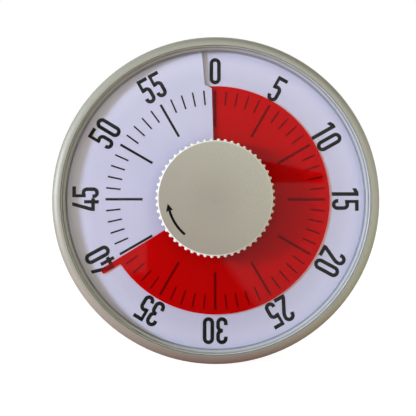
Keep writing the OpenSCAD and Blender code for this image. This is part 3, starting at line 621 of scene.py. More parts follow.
@dataclass(frozen=True)
class MouldedPlastic(TonedFinish):
    """Plain moulded plastic with a spark-eroded grain."""

    roughness: float = 0.5
    grain_mm: float = 0.5
    depth_mm: float = 0.02

    def surface(self, s: Shade) -> bpy.types.NodeSocket:
        """Drifting tone, pebbled grain and a few spots rubbed pale."""
        grain = s.effect(s.effects.grain, Size=self.grain_mm * MM, Roughness=self.roughness, Spread=0.18)
        worn = s.math("MULTIPLY", s.effect(s.effects.rub, Size=0.01, Cover=0.2)["Mask"], 0.3)
        paler = tuple(min(1.0, c * 1.5 + 0.01) for c in self.colour)
        colour = s.blend(worn, self.tone(s, size_m=0.025), paler)
        return s.principled(colour, grain["Roughness"], s.bump(grain["Height"], self.depth_mm * MM))


@dataclass(frozen=True)
class FrostBand:
    """A band on the lens's rim between two radii in millimetres: pale for a painted glint, dark for a painted
    shadow line.
    """

    inner: float
    outer: float
    share: float
    tone: float


@dataclass(frozen=True)
class ClearPlastic(Finish):
    """Clear polished plastic that lets the lamps through to what lies behind it.

    Args:
        name: Name of the material.
        tint: Colour that light takes on in it.
        ior: Index of refraction.
        bands: Bands of the rim: pale ones, lit by the lamp, that stand in for its glints, and a dark painted
            shadow line.
        frost: Colour of a band with a tone of 1.
        edge_mm: How far a step's edge reaches to each side.
        band_lean: How far the bands' normals lean inwards, so that the pale ones catch light from across the
            dial as glints.
    """

    tint: Colour
    ior: float = 1.49
    bands: tuple[FrostBand, ...] = (
        # A painted shadow line inside the rim, then two pale bands that stand in for the rim's glints.
        FrostBand(86.15, 86.95, 0.18, 0.08),
        FrostBand(87.05, 88.2, 0.62, 0.95),
        FrostBand(89.0, 89.6, 0.88, 0.97),
    )
    frost: Colour = (0.96, 0.99, 1.0)
    edge_mm: float = 0.1
    band_lean: float = 2.5

    def band_mask(self, s: Shade, radius: bpy.types.NodeSocket, band: FrostBand) -> bpy.types.NodeSocket:
        """Gives a mask that is the band's share inside the band and 0 elsewhere.

        Args:
            s: The material's nodes.
            radius: Distance from the dial's axis, in metres.
            band: The band.

        Returns:
            The mask.
        """
        rise, fall = (
            s.span(radius, (edge - self.edge_mm) * MM, (edge + self.edge_mm) * MM, band.share)
            for edge in (band.inner, band.outer)
        )
        return s.math("SUBTRACT", rise, fall)

    def surface(self, s: Shade) -> bpy.types.NodeSocket:
        """Glass with hairline polish marks, painted glints and a painted shadow line on the rim, open to
        shadow rays.
        """
        polish = s.effect(s.effects.grain, Size=0.02, Roughness=0.012, Spread=0.02)["Roughness"]
        glass = {"Base Color": self.tint, "Roughness": polish, "IOR": self.ior, "Transmission Weight": 1.0}
        body = s.add("BsdfPrincipled", glass)
        radius = s.radius()
        inward = s.lean(s.add("NewGeometry").outputs["Normal"], s.unit(s.outward()), -self.band_lean)
        for band in self.bands:
            tone = tuple(band.tone * c for c in self.frost)
            band_shader = s.add("BsdfDiffuse", {"Color": tone, "Normal": inward})
            share = self.band_mask(s, radius, band)
            body = s.add("MixShader", {0: share, 1: body.outputs[0], 2: band_shader.outputs[0]})
        through = s.add("BsdfTransparent", {"Color": self.tint})
        shadow = s.add("LightPath").outputs["Is Shadow Ray"]
        return s.add("MixShader", {0: shadow, 1: body.outputs[0], 2: through.outputs[0]}).outputs[0]


@dataclass(frozen=True)
class WhiteCard(TonedFinish):
    """Smooth coated card of the dial, with light painted towards its rim from one radius to another, against
    the bezel's shade.
    """

    rim_colour: Colour
    paler_from_mm: float = 72.0
    palest_from_mm: float = 82.0

    def surface(self, s: Shade) -> bpy.types.NodeSocket:
        """Faint drift of tone, paper fibre, a soft surface and light painted towards the rim."""
        # Painted light towards the rim, where the bezel shades the card.
        rim = s.span(s.radius(), self.paler_from_mm * MM, self.palest_from_mm * MM)
        colour = s.blend(rim, self.tone(s, size_m=0.07), self.rim_colour)
        grain = s.effect(s.effects.grain, Size=0.0009, Roughness=0.62, Spread=0.08)
        return s.principled(colour, grain["Roughness"], s.bump(grain["Height"], 0.000006), specular=0.3)


@dataclass(frozen=True)
class PrintInk(TonedFinish):
    """Screen-printed ink, dense and nearly matt."""

    sheen: float = 0.25

    def surface(self, s: Shade) -> bpy.types.NodeSocket:
        """Ink that is a little thinner in places, with the mesh's fine texture."""
        grain = s.effect(s.effects.grain, Size=0.0003, Roughness=0.55, Spread=0.12)
        relief = s.bump(grain["Height"], 0.000006)
        return s.principled(self.tone(s, size_m=0.004), grain["Roughness"], relief, specular=self.sheen)


@dataclass(frozen=True)
class RedSheet(TonedFinish):
    """Thin translucent red plastic sheet of the time disc.

    Args:
        name: Name of the material.
        colour: Colour of its surface.
        second: The colour that it drifts to.
        through: Colour that light takes on in it.
        milky: Share of the light that it doesn't let through.
        speck: Colour of the specks of dust on it.
        speck_share: How much of a speck shows.
    """

    through: Colour
    milky: float
    speck: Colour = (0.80, 0.45, 0.42)
    speck_share: float = 0.5

    def surface(self, s: Shade) -> bpy.types.NodeSocket:
        """Milky clear red that colours what lies behind it, and a few specks."""
        grain = s.effect(s.effects.grain, Size=0.0012, Roughness=0.35, Spread=0.15)
        specks = s.effect(s.effects.dust, Size=0.009, Speck=0.02, Share=0.45)["Mask"]
        colour = s.blend(specks, self.tone(s, size_m=0.05), self.speck)
        sheet = s.principled(colour, grain["Roughness"], s.bump(grain["Height"], 0.000005), specular=0.3)
        behind = s.add("BsdfTransparent", {"Color": self.through}).outputs[0]
        solid = s.math("MAXIMUM", s.math("MULTIPLY", specks, self.speck_share), self.milky)
        return s.add("MixShader", {0: solid, 1: behind, 2: sheet}).outputs[0]


class Cut(Enum):
    """How the surface of a metal part was cut."""

    TURNED = "turned"
    BRUSHED = "brushed"


@dataclass(frozen=True)
class BareMetal(TonedFinish):
    """Bare, plated or blued metal of the clockwork."""

    roughness: float = 0.3
    cut: Cut = Cut.BRUSHED
    pitch_mm: float = 0.25
    depth_mm: float = 0.004
    metal: float = 1.0

    def surface(self, s: Shade) -> bpy.types.NodeSocket:
        """Tool marks, slow tarnish and fingered, duller spots."""
        cutting = s.effects.turning if self.cut is Cut.TURNED else s.effects.brushing
        marks = s.effect(cutting, Pitch=self.pitch_mm * MM)
        dull = s.effect(s.effects.rub, Size=0.006, Cover=0.3)["Mask"]
        darker = tuple(c * 0.72 for c in self.second)
        colour = s.blend(s.math("MULTIPLY", dull, 0.35), self.tone(s, size_m=0.009), darker)
        lined = s.math("MULTIPLY_ADD", marks["Line"], 0.12, self.roughness - 0.06)
        roughness = s.math("MULTIPLY_ADD", dull, 0.12, lined)
        return s.principled(colour, roughness, s.bump(marks["Height"], self.depth_mm * MM), self.metal)


@dataclass(frozen=True)
class PressedGrit(TonedFinish):
    """Ferrite or rubber: dark, pitted and matt."""

    roughness: float = 0.7
    grit_mm: float = 0.35
    depth_mm: float = 0.05
    dust: Colour = (0.22, 0.21, 0.19)

    def surface(self, s: Shade) -> bpy.types.NodeSocket:
        """Grit, dust in the pits and patches of wear."""
        grain = s.effect(s.effects.grain, Size=self.grit_mm * MM, Roughness=self.roughness, Spread=0.2)
        dusty = s.math("MULTIPLY", s.effect(s.effects.rub, Size=0.004, Cover=0.25)["Mask"], 0.25)
        colour = s.blend(dusty, self.tone(s, size_m=0.006), self.dust)
        return s.principled(colour, grain["Roughness"], s.bump(grain["Height"], self.depth_mm * MM))


BRASS = {"colour": (0.72, 0.52, 0.20), "second": (0.62, 0.42, 0.15)}
STEEL = {"colour": (0.58, 0.58, 0.59), "second": (0.48, 0.48, 0.50)}


# --------------------------------------------------------------------------------------------------
# Printing
# --------------------------------------------------------------------------------------------------


class Pen:
    """A flat pen of one width. It draws by extruding and spinning the short edge across its tip.

    SAG is how far the chords of an arc may lie inside the arc, in millimetres.
    """

    SAG = 0.02

    def __init__(self, width: float) -> None:
        """Takes the width of the line, in millimetres."""
        self.width = width
        self.mesh = bmesh.new()
        self.edge: bmesh.types.BMEdge | None = None
        self.at = Vector((0.0, 0.0, 0.0))
        self.heading = Vector((0.0, 1.0, 0.0))

    def set_down(self, x: float, y: float, heading_deg: float) -> Pen:
        """Starts a line at a point, in a direction counted anticlockwise from x."""
        angle = math.radians(heading_deg)
        self.at = Vector((x, y, 0.0))
        self.heading = Vector((math.cos(angle), math.sin(angle), 0.0))
        half = self.heading.cross(Vector((0.0, 0.0, 1.0))) * self.width / 2
        ends = [self.mesh.verts.new(self.at + half), self.mesh.verts.new(self.at - half)]
        self.edge = self.mesh.edges.new(ends)
        return self

    def line(self, length: float) -> Pen:
        """Draws straight on."""
        made = bmesh.ops.extrude_edge_only(self.mesh, edges=[self.edge])["geom"]
        step = self.heading * length
        ends = [g for g in made if isinstance(g, bmesh.types.BMVert)]
        bmesh.ops.translate(self.mesh, verts=ends, vec=step)
        self.edge = next(g for g in made if isinstance(g, bmesh.types.BMEdge))
        self.at += step
        return self

    def arc(self, radius: float, turn_deg: float) -> Pen:
        """Draws an arc of the line's middle. A turn above zero goes to the left."""
        turn = math.radians(turn_deg)
        step = 2 * math.acos(1 - self.SAG / (radius + self.width / 2))
        left = Vector((0.0, 0.0, 1.0)).cross(self.heading)
        centre = self.at + left * math.copysign(radius, turn)
        made = bmesh.ops.spin(
            self.mesh,
            geom=[self.edge, *self.edge.verts],
            cent=centre,
            axis=(0.0, 0.0, 1.0),
            angle=turn,
            steps=max(2, math.ceil(abs(turn) / step)),
            use_duplicate=False,
        )["geom_last"]
        self.edge = next(g for g in made if isinstance(g, bmesh.types.BMEdge))
        spin = Matrix.Rotation(turn, 3, "Z")
        self.at = centre + spin @ (self.at - centre)
        self.heading = spin @ self.heading
        return self

    def close(self) -> Pen:
        """Joins the end of the line to its start."""
        bmesh.ops.remove_doubles(self.mesh, verts=self.mesh.verts[:], dist=0.01)
        return self

    def slab(self, *corners: tuple[float, float]) -> Pen:
        """Draws a flat piece with straight sides between the corners given."""
        verts = [self.mesh.verts.new((x, y, 0.0)) for x, y in corners]
        bmesh.ops.contextual_create(self.mesh, geom=verts)
        return self

    def ink(self, name: str) -> bpy.types.Object:
        """Gives the drawing one unit of thickness and lifts the pen.

        Args:
            name: Name of the piece.

        Returns:
            A loose object whose mesh is the closed drawing.
        """
        bm = self.mesh
        bmesh.ops.recalc_face_normals(bm, faces=bm.faces[:])
        for face in bm.faces:
            face.normal_update()
            if face.normal.z < 0:
                face.normal_flip()
        grown = bmesh.ops.extrude_face_region(bm, geom=bm.faces[:], use_keep_orig=True)["geom"]
        lid = [g for g in grown if isinstance(g, bmesh.types.BMVert)]
        bmesh.ops.translate(bm, verts=lid, vec=(0.0, 0.0, 1.0))
        bmesh.ops.recalc_face_normals(bm, faces=bm.faces[:])
        return loose_object(bm, name)


def loose_object(bm: bmesh.types.BMesh, name: str) -> bpy.types.Object:
    """Puts a bmesh, which is used up, in a loose object of its own."""
    data = bpy.data.meshes.new(name)
    bm.to_mesh(data)
    bm.free()
    piece = bpy.data.objects.new(name, data)
    bpy.context.scene.collection.objects.link(piece)
    return piece


def settle(
    bm: bmesh.types.BMesh, name: str, frame: DialFrame, material: bpy.types.Material, body: Body
) -> bpy.types.Object:
    """Makes a finished shape a piece of the timer.

    Args:
        bm: Shape in millimetres in the dial's frame. It is used up.
        name: Name of the piece.
        frame: The dial's frame.
        material: Material of the piece.
        body: Body that it rides on.

    Returns:
        The piece.
    """
    bmesh.ops.transform(bm, matrix=frame.matrix, verts=bm.verts[:])
    piece = loose_object(bm, name)
    piece.data.materials.append(material)
    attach(piece, body.value)
    LOG.info("%s: %d faces", name, len(piece.data.polygons))
    return piece


def clockwise(degrees: float) -> Matrix:
    """Gives the turn from the top of the dial to a clock position."""
    return Matrix.Rotation(math.radians(-degrees), 4, "Z")


def fuse(strokes: Sequence[bpy.types.Object], name: str) -> bpy.types.Mesh:
    """Unites overlapping closed meshes into one.

    Args:
        strokes: Loose objects, which are used up.
        name: Name of the mesh.

    Returns:
        The united mesh.
    """
    body, *others = strokes
    for other in others:
        joint = body.modifiers.new("weld_stroke", "BOOLEAN")
        joint.operation = "UNION"
        joint.solver = "EXACT"
        joint.object = other
    bpy.context.view_layer.update()
    shown = body.evaluated_get(bpy.context.evaluated_depsgraph_get())
    mesh = bpy.data.meshes.new_from_object(shown)
    mesh.name = name
    for piece in strokes:
        bpy.data.objects.remove(piece)
    return mesh


@dataclass
class Numerals:
    """The condensed figures of the dial, on a grid with their feet on y = 0.

    One unit of the grid prints as unit_mm millimetres. Each point of one_flag is an x and a drop below
    the top, and four_slope_head holds the ends of the slope's top.
    """

    unit_mm: float = 1.03
    height: float = 15.2
    stroke: float = 2.1
    thin_stroke: float = 1.75
    round_width: float = 6.45
    five_width: float = 6.2
    two_width: float = 6.55
    gap: float = 1.15
    gap_after_one: float = 2.3
    gap_after_four: float = 0.575
    one_width: float = 4.4
    one_flag: tuple[tuple[float, float], ...] = ((2.3, 0.0), (0.0, 1.3), (0.1, 3.6), (2.4, 2.4), (3.8, 0.8))
    four_width: float = 7.2
    four_slope_foot: tuple[tuple[float, float], ...] = ((0.0, 4.4), (0.0, 2.9), (2.07, 2.9), (2.12, 4.3))
    four_slope_head: tuple[float, float] = (2.95, 5.0)
    two_hook_foot: float = 11.06
    two_bend_radius: float = 5.5
    two_bend_deg: float = 27.2
    two_knee_radius: float = 1.6
    two_knee_height: float = 2.25
    three_tips: tuple[float, float] = (10.9, 4.5)
    three_nose_radius: float = 2.4
    three_nose_top: float = 10.0
    four_bar_height: float = 3.25
    four_stem: float = 1.93
    four_stem_x: float = 5.235
    four_stem_height: float = 8.4
    five_stem_foot: float = 7.5
    five_bowl_top: float = 8.1
    widths: dict[str, float] = field(init=False)
    meshes: dict[str, bpy.types.Mesh] = field(init=False)

    def __post_init__(self) -> None:
        """Draws each figure once."""
        figures: dict[str, tuple[Callable[[], list[bpy.types.Object]], float]] = {
            "0": (self._zero, self.round_width),
            "1": (self._one, self.one_width),
            "2": (self._two, self.two_width),
            "3": (self._three, self.round_width),
            "4": (self._four, self.four_width),
            "5": (self._five, self.five_width),
        }
        self.widths = {figure: width for figure, (_, width) in figures.items()}
        self.meshes = {figure: fuse(draw(), f"figure_{figure}") for figure, (draw, _) in figures.items()}

    def _zero(self) -> list[bpy.types.Object]:
        """An upright racetrack."""
        half, radius = self.stroke / 2, (self.round_width - self.stroke) / 2
        side = self.height - 2 * (half + radius)
        pen = Pen(self.stroke).set_down(self.round_width - half, half + radius, 90)
        pen.line(side).arc(radius, 180).line(side).arc(radius, 180).close()
        return [pen.ink("zero")]

    def _one(self) -> list[bpy.types.Object]:
        """A stem with a short flag on its left."""
        stem = Pen(self.stroke).set_down(self.one_width - self.stroke / 2, 0, 90).line(self.height)
        flag = Pen(self.stroke).slab(*((x, self.height - drop) for x, drop in self.one_flag))
        return [stem.ink("stem"), flag.ink("flag")]

    def _two(self) -> list[bpy.types.Object]:
        """A hook, a long bend to the lower left and a foot."""
        half = self.stroke / 2
        radius = (self.two_width - self.stroke) / 2
        hook = Pen(self.stroke).set_down(half, self.two_hook_foot, 90).line(1.0).arc(radius, -180).line(0.25)
        hook.arc(self.two_bend_radius, -self.two_bend_deg)
        hook.line((hook.at.y - self.two_knee_height) / -hook.heading.y)
        hook.arc(self.two_knee_radius, self.two_bend_deg).line(max(0.1, hook.at.y))
        foot = Pen(self.stroke).set_down(0, half, 0).line(self.two_width)
        return [hook.ink("hook"), foot.ink("foot")]

    def _three(self) -> list[bpy.types.Object]:
        """Two bowls that meet at mid height."""
        half, nose, nose_top = self.stroke / 2, self.three_nose_radius, self.three_nose_top
        radius = (self.round_width - self.stroke) / 2
        crown, base = self.height - half - radius, half + radius
        high, low = self.three_tips
        upper = Pen(self.stroke).set_down(half, high, 90).line(crown - high).arc(radius, -180)
        upper.line(upper.at.y - nose_top).arc(nose, -90).line(0.35)
        lower = Pen(self.stroke).set_down(half, low, -90).line(low - base).arc(radius, 180)
        lower.line(self.height - nose_top - lower.at.y).arc(nose, 90).line(0.35)
        return [upper.ink("upper_bowl"), lower.ink("lower_bowl")]

    def _four(self) -> list[bpy.types.Object]:
        """A slope, a crossbar and a short stem."""
        left, right = self.four_slope_head
        slope = Pen(self.stroke).slab(*self.four_slope_foot, (right, self.height), (left, self.height))
        bar = Pen(self.stroke).set_down(0, self.four_bar_height, 0).line(self.four_width)
        stem = Pen(self.four_stem).set_down(self.four_stem_x, 0, 90).line(self.four_stem_height)
        return [slope.ink("slope"), bar.ink("bar"), stem.ink("stem")]

    def _five(self) -> list[bpy.types.Object]:
        """A flag, a short stem and an open bowl."""
        half, thin, foot = self.stroke / 2, self.thin_stroke, self.five_stem_foot
        bar = Pen(self.stroke).set_down(0, self.height - half, 0).line(self.five_width)
        stem = Pen(thin).set_down(thin / 2, foot, 90).line(self.height - foot)
        radius = (self.five_width - self.stroke) / 2
        bowl = Pen(self.stroke).set_down(1.0, self.five_bowl_top, 45).line(0.2).arc(radius, -135)
        bowl.line(bowl.at.y - half - radius).arc(radius, -180).line(0.6)
        return [bar.ink("flag"), stem.ink("stem"), bowl.ink("bowl")]

    def lay_out(self, text: str) -> list[tuple[str, float]]:
        """Places the figures of a number about its middle.

        Args:
            text: The number's figures.

        Returns:
            Each figure with the x of its left edge.
        """
        placed, x = [], 0.0
        for n, figure in enumerate(text):
            placed.append((figure, x))
            gap = {"1": self.gap_after_one, "4": self.gap_after_four}.get(figure, self.gap)
            x += self.widths[figure] + (gap if n + 1 < len(text) else 0.0)
        return [(figure, (left - x / 2) * self.unit_mm) for figure, left in placed]


@dataclass
class Print:
    """Ink that lies as a thin film on a surface of the timer.

    Args:
        frame: The dial's frame.
        lift: Gap between the surface and the film.
        film: Thickness of the film.
        body: Body that the print rides on.
        slot: Slot that its finish belongs to. It is not used.
    """

    frame: DialFrame
    lift: float = 0.02
    film: float = 0.04
    body: Body = Body.CASE
    slot: Slot = Slot.WHITE_DIAL

    def surface(self, x: float, y: float) -> float:
        """Height of the printed surface over the case's back at a point of the dial."""
        raise NotImplementedError

    def stamp(self, bm: bmesh.types.BMesh, mesh: bpy.types.Mesh, place: Matrix) -> None:
        """Adds a copy of a mesh to the print, moved by a matrix."""
        before = len(bm.verts)
        bm.from_mesh(mesh)
        bm.verts.ensure_lookup_table()
        bmesh.ops.transform(bm, matrix=place, verts=bm.verts[before:])

    def lay(self, bm: bmesh.types.BMesh, name: str, material: bpy.types.Material) -> bpy.types.Object:
        """Lays flat print on the surface.

        Args:
            bm: Print in dial millimetres whose z runs from 0 to 1. It is used up.
            name: Name of the piece.
            material: Its ink.

        Returns:
            The piece.
        """
        for vert in bm.verts:
            vert.co.z = self.surface(vert.co.x, vert.co.y) + self.lift + self.film * vert.co.z
        return settle(bm, name, self.frame, material, self.body)


@dataclass
class DialPrint(Print):
    """Strokes and numerals printed on the ramped dial.

    The dial rises by rise in one turn from low_height. It is cut through near 0, at one angle inside
    slit_step_radius and at another outside it. The screen printer's numbers sit a little off their
    marks: nudges move one along its radius, and drifts_deg turn one round the dial.
    """

    low_height: float = 28.0
    rise: float = 2.8
    slit_inner_deg: float = 1.75
    slit_outer_deg: float = 5.2
    slit_step_radius: float = 66.7
    stroke_outer: float = 64.4
    minor_inner: float = 55.8
    major_inner: float = 42.5
    minor_width: float = 0.95
    major_width: float = 1.45
    figure_foot: float = 68.3
    nudges: dict[int, float] = field(
        default_factory=lambda: {5: -1.5, 10: -1.1, 25: -0.8, 30: 0.3, 35: -0.9, 50: -0.5, 55: -0.7}
    )
    drifts_deg: dict[int, float] = field(
        default_factory=lambda: {
            5: -0.5, 10: 0.6, 20: -1.45, 25: 0.3, 35: 0.35, 40: 1.7, 45: 0.25, 50: 1.05, 55: 0.8
        }
    )

    def surface(self, x: float, y: float) -> float:
        """Height of the dial over the case's back."""
        slit = self.slit_inner_deg if math.hypot(x, y) < self.slit_step_radius else self.slit_outer_deg
        clock = math.degrees(math.atan2(x, y)) % 360
        if clock > 360 - slit:
            clock -= 360
        return self.low_height + self.rise * clock / 360

    def strokes(
        self, material: bpy.types.Material, every: Iterable[int], inner: float, width: float, name: str
    ) -> bpy.types.Object:
        """Builds the strokes of some of the minutes as one piece.

        Args:
            material: Their ink.
            every: The minutes to mark.
            inner: Inner radius of the strokes.
            width: Their width.
            name: Name of the piece.

        Returns:
            The piece.
        """
        stroke = Pen(width).set_down(0, inner, 90).line(self.stroke_outer - inner).ink("stroke")
        mesh = stroke.data
        bpy.data.objects.remove(stroke)
        bm = bmesh.new()
        for minute in every:
            self.stamp(bm, mesh, clockwise(MINUTE_DEG * minute))
        return self.lay(bm, name, material)

    def numerals(self, material: bpy.types.Material, figures: Numerals) -> bpy.types.Object:
        """Builds the twelve numbers, tops outward, as one piece."""
        bm = bmesh.new()
        scale = Matrix.Diagonal((figures.unit_mm, figures.unit_mm, 1.0, 1.0))
        for minute in FIVE_MINUTES:
            foot = self.figure_foot + self.nudges.get(minute, 0.0)
            turn = clockwise(MINUTE_DEG * minute + self.drifts_deg.get(minute, 0.0))
            for figure, left in figures.lay_out(str(minute)):
                place = turn @ Matrix.Translation((left, foot, 0.0)) @ scale
                self.stamp(bm, figures.meshes[figure], place)
        return self.lay(bm, "dial_numerals", material)

    def build(self, material: bpy.types.Material) -> None:
        """Prints the dial."""
        minors = [minute for minute in range(60) if minute not in FIVE_MINUTES]
        self.strokes(material, minors, self.minor_inner, self.minor_width, "minute_strokes")
        self.strokes(material, FIVE_MINUTES, self.major_inner, self.major_width, "five_minute_strokes")
        self.numerals(material, Numerals())


@dataclass
class KnobArrow(Print):
    """Curved arrow printed on the knob's face: the way to wind the time in."""

    body: Body = Body.KNOB
    slot: Slot = Slot.SILVER_KNOB
    radius: float = 27.0
    tail_deg: float = 219.5
    tip_deg: float = 262.0
    stroke: float = 1.45
    head_width: float = 4.2
    head_length: float = 4.4
    head_beyond_shaft: float = 0.8
    barb_back: float = 0.35
    barb_notch: float = 0.45
    face_rim_radius: float = 31.85
    face_rim_height: float = 48.0
    face_hub_radius: float = 4.0
    face_hub_height: float = 47.1

    def surface(self, x: float, y: float) -> float:
        """Height of the knob's shallow cone over the case's back."""
        from_hub = math.hypot(x, y) - self.face_hub_radius
        share = from_hub / (self.face_rim_radius - self.face_hub_radius)
        return self.face_hub_height + (self.face_rim_height - self.face_hub_height) * share

    def build(self, material: bpy.types.Material) -> bpy.types.Object:
        """Draws the arrow and lays it on the knob."""
        head_turn_deg = math.degrees(self.head_length / self.radius)
        sweep_deg = self.tip_deg - self.tail_deg - head_turn_deg * self.head_beyond_shaft
        tail = math.radians(90 - self.tail_deg)
        x, y = self.radius * math.cos(tail), self.radius * math.sin(tail)
        shaft = Pen(self.stroke).set_down(x, y, -self.tail_deg).arc(self.radius, -sweep_deg)
        along = shaft.heading.copy()
        across = Vector((-along.y, along.x, 0.0)) * self.head_width / 2
        barbs = shaft.at - along * self.barb_back
        tip, notch = barbs + along * self.head_length, barbs + along * self.barb_notch
        head = Pen(self.stroke).slab(*(c.to_2d() for c in (tip, barbs + across, notch, barbs - across)))
        bm = bmesh.new()
        bm.from_mesh(fuse([shaft.ink("shaft"), head.ink("head")], "arrow_drawing"))
        return self.lay(bm, "knob_arrow", material)


# --------------------------------------------------------------------------------------------------
# Sub-assemblies
# --------------------------------------------------------------------------------------------------


@dataclass
class SubAssembly:
    """Dresses some of the CAD nodes and may add pieces of its own."""

    frame: DialFrame
    nodes: dict[str, bpy.types.Object]
    effects: Effects

    def dress(self, node: str, finish: Finish, own_axis: bool = False) -> bpy.types.Material:
        """Gives a CAD node its finish.

        Args:
            node: Name of the node.
            finish: The finish it gets.
            own_axis: Whether the pattern is centred on the node and not on the dial's axis.

        Returns:
            The material.
        """
        centre = self.frame.origin
        if own_axis:
            low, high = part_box(node)
            centre = (low + high) / 2
        material = finish.build(self.effects, centre, self.frame.turn)
        self._coat(node, material)
        return material

    def dress_all(self, names: Sequence[str], finish: Finish) -> None:
        """Gives several CAD nodes one finish, centred on the dial's axis."""
        material = finish.build(self.effects, self.frame.origin, self.frame.turn)
        for name in names:
            self._coat(name, material)

    def _coat(self, node: str, material: bpy.types.Material) -> None:
        """Puts a material on a CAD node in place of its own."""
        mesh = self.nodes[node].data
        mesh.materials.clear()
        mesh.materials.append(material)
        LOG.info("%s: %s", node, material.name)


@dataclass
class LensTurning:
    """Clear lens: a flat disc with a double rim, a skirt inside the case and three hooks."""

    frame: DialFrame
    front: float = 38.2
    thickness: float = 1.6
    hole_radius: float = 14.0
    rim_height: float = 0.4
    rim_radius: float = 89.6
    rim_inner_radius: float = 87.2
    rim_bevel: float = 0.15
    groove_radius: float = 88.8
    groove_half: float = 0.4
    groove_depth: float = 0.35
    ledge: float = 35.65
    skirt_radius: float = 87.7
    skirt_wall: float = 1.1
    skirt_foot: float = 31.4
    hook_width: float = 3.0
    hook_wall: float = 0.8
    hook_radius: float = 88.7
    hook_foot: float = 31.6
    hook_sink: float = 0.15
    hook_clocks_deg: tuple[float, ...] = (90.0, 210.0, 330.0)
    steps: int = 360
    crease_deg: float = 15.0

    def section(self) -> list[tuple[float, float]]:
        """Gives the closed section as pairs of radius and height."""
        top = self.front + self.rim_height
        skirt_inner = self.skirt_radius - self.skirt_wall
        return [
            (self.hole_radius, self.front - self.thickness),
            (skirt_inner, self.front - self.thickness),
            (skirt_inner, self.skirt_foot),
            (self.skirt_radius, self.skirt_foot),
            (self.skirt_radius, self.ledge),
            (self.rim_radius, self.ledge),
            (self.rim_radius, top - self.rim_bevel),
            (self.rim_radius - self.rim_bevel, top),
            (self.groove_radius + self.groove_half, top),
            (self.groove_radius, top - self.groove_depth),
            (self.groove_radius - self.groove_half, top),
            (self.rim_inner_radius + self.rim_bevel, top),
            (self.rim_inner_radius, self.front),
            (self.hole_radius, self.front),
        ]

    def _ring(self) -> bpy.types.Object:
        """Spins the section into a ring."""
        bm = bmesh.new()
        points = [bm.verts.new((radius, 0.0, height)) for radius, height in self.section()]
        sides = [bm.edges.new(ends) for ends in zip(points, points[1:] + points[:1])]
        bmesh.ops.spin(
            bm,
            geom=[*points, *sides],
            cent=(0.0, 0.0, 0.0),
            axis=(0.0, 0.0, 1.0),
            angle=2 * math.pi,
            steps=self.steps,
            use_merge=True,
            use_duplicate=False,
        )
        bmesh.ops.recalc_face_normals(bm, faces=bm.faces[:])
        return loose_object(bm, "lens_ring")

    def _hook(self, clock_deg: float) -> bpy.types.Object:
        """Makes one hook, which reaches from the rim down into the case."""
        height = self.ledge + self.hook_sink - self.hook_foot
        middle = (0.0, self.hook_radius, self.hook_foot + height / 2)
        bm = bmesh.new()
        bmesh.ops.create_cube(bm, size=1.0)
        bmesh.ops.scale(bm, verts=bm.verts[:], vec=(self.hook_width, self.hook_wall, height))
        bmesh.ops.translate(bm, verts=bm.verts[:], vec=middle)
        bmesh.ops.transform(bm, matrix=clockwise(clock_deg), verts=bm.verts[:])
        return loose_object(bm, "lens_hook")

    def build(self, material: bpy.types.Material) -> bpy.types.Object:
        """Makes the lens in place of its CAD node.

        Args:
            material: Its clear plastic.

        Returns:
            The lens, riding on the case.
        """
        bm = bmesh.new()
        bm.from_mesh(fuse([self._ring(), *map(self._hook, self.hook_clocks_deg)], "lens_moulding"))
        for face in bm.faces:
            face.smooth = True
        for edge in bm.edges:
            edge.smooth = edge.calc_face_angle(0.0) < math.radians(self.crease_deg)
        piece = settle(bm, "clear_lens", self.frame, material, Body.CASE)
        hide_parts("lens")
        return piece


@dataclass
class Case(SubAssembly):
    """Painted shell and bezel, with the clear lens, screws and magnets that they hold."""

    shell: SilverPaint = SilverPaint("silver_shell_paint", (0.385, 0.385, 0.335), (0.40, 0.39, 0.34))
    lens: ClearPlastic = ClearPlastic("clear_polished_lens", (0.985, 0.995, 0.998))
    screws: BareMetal = BareMetal(
        "black_oxide_screws", (0.10, 0.10, 0.105), (0.07, 0.07, 0.072), 0.42, Cut.TURNED, pitch_mm=0.3
    )
    magnets: PressedGrit = PressedGrit(
        "pressed_ferrite", (0.075, 0.075, 0.08), (0.11, 0.105, 0.10), 0.6, grit_mm=0.3, depth_mm=0.03
    )

    def build(self) -> None:
        """Dresses the case."""
        self.dress_all(["front_bezel", "rear_shell"], self.shell)
        LensTurning(self.frame).build(self.dress("lens", self.lens))
        self.dress("case_screws", self.screws)
        self.dress("magnets", self.magnets)


@dataclass
class Face(SubAssembly):
    """Ramped dial with its printing, the time disc and the disc's hub."""

    card: WhiteCard = WhiteCard(
        "white_dial_card", (0.72, 0.70, 0.88), (0.70, 0.685, 0.86), rim_colour=(0.81, 0.79, 0.97)
    )
    ink: PrintInk = PrintInk("dial_ink", (0.010, 0.010, 0.008), (0.018, 0.017, 0.014))
    red: RedSheet = RedSheet(
        "red_time_sheet", (0.84, 0.004, 0.006), (0.80, 0.003, 0.004), through=(0.98, 0.01, 0.015), milky=0.12
    )
    hub: MouldedPlastic = MouldedPlastic(
        "black_hub_plastic", (0.035, 0.035, 0.036), (0.025, 0.025, 0.026), roughness=0.45
    )

    def build(self) -> None:
        """Dresses the dial and prints it."""
        self.dress("dial_plate", self.card)
        self.dress("time_disc", self.red)
        self.dress("disc_hub", self.hub)
        DialPrint(self.frame).build(self.ink.build(self.effects, self.frame.origin, self.frame.turn))


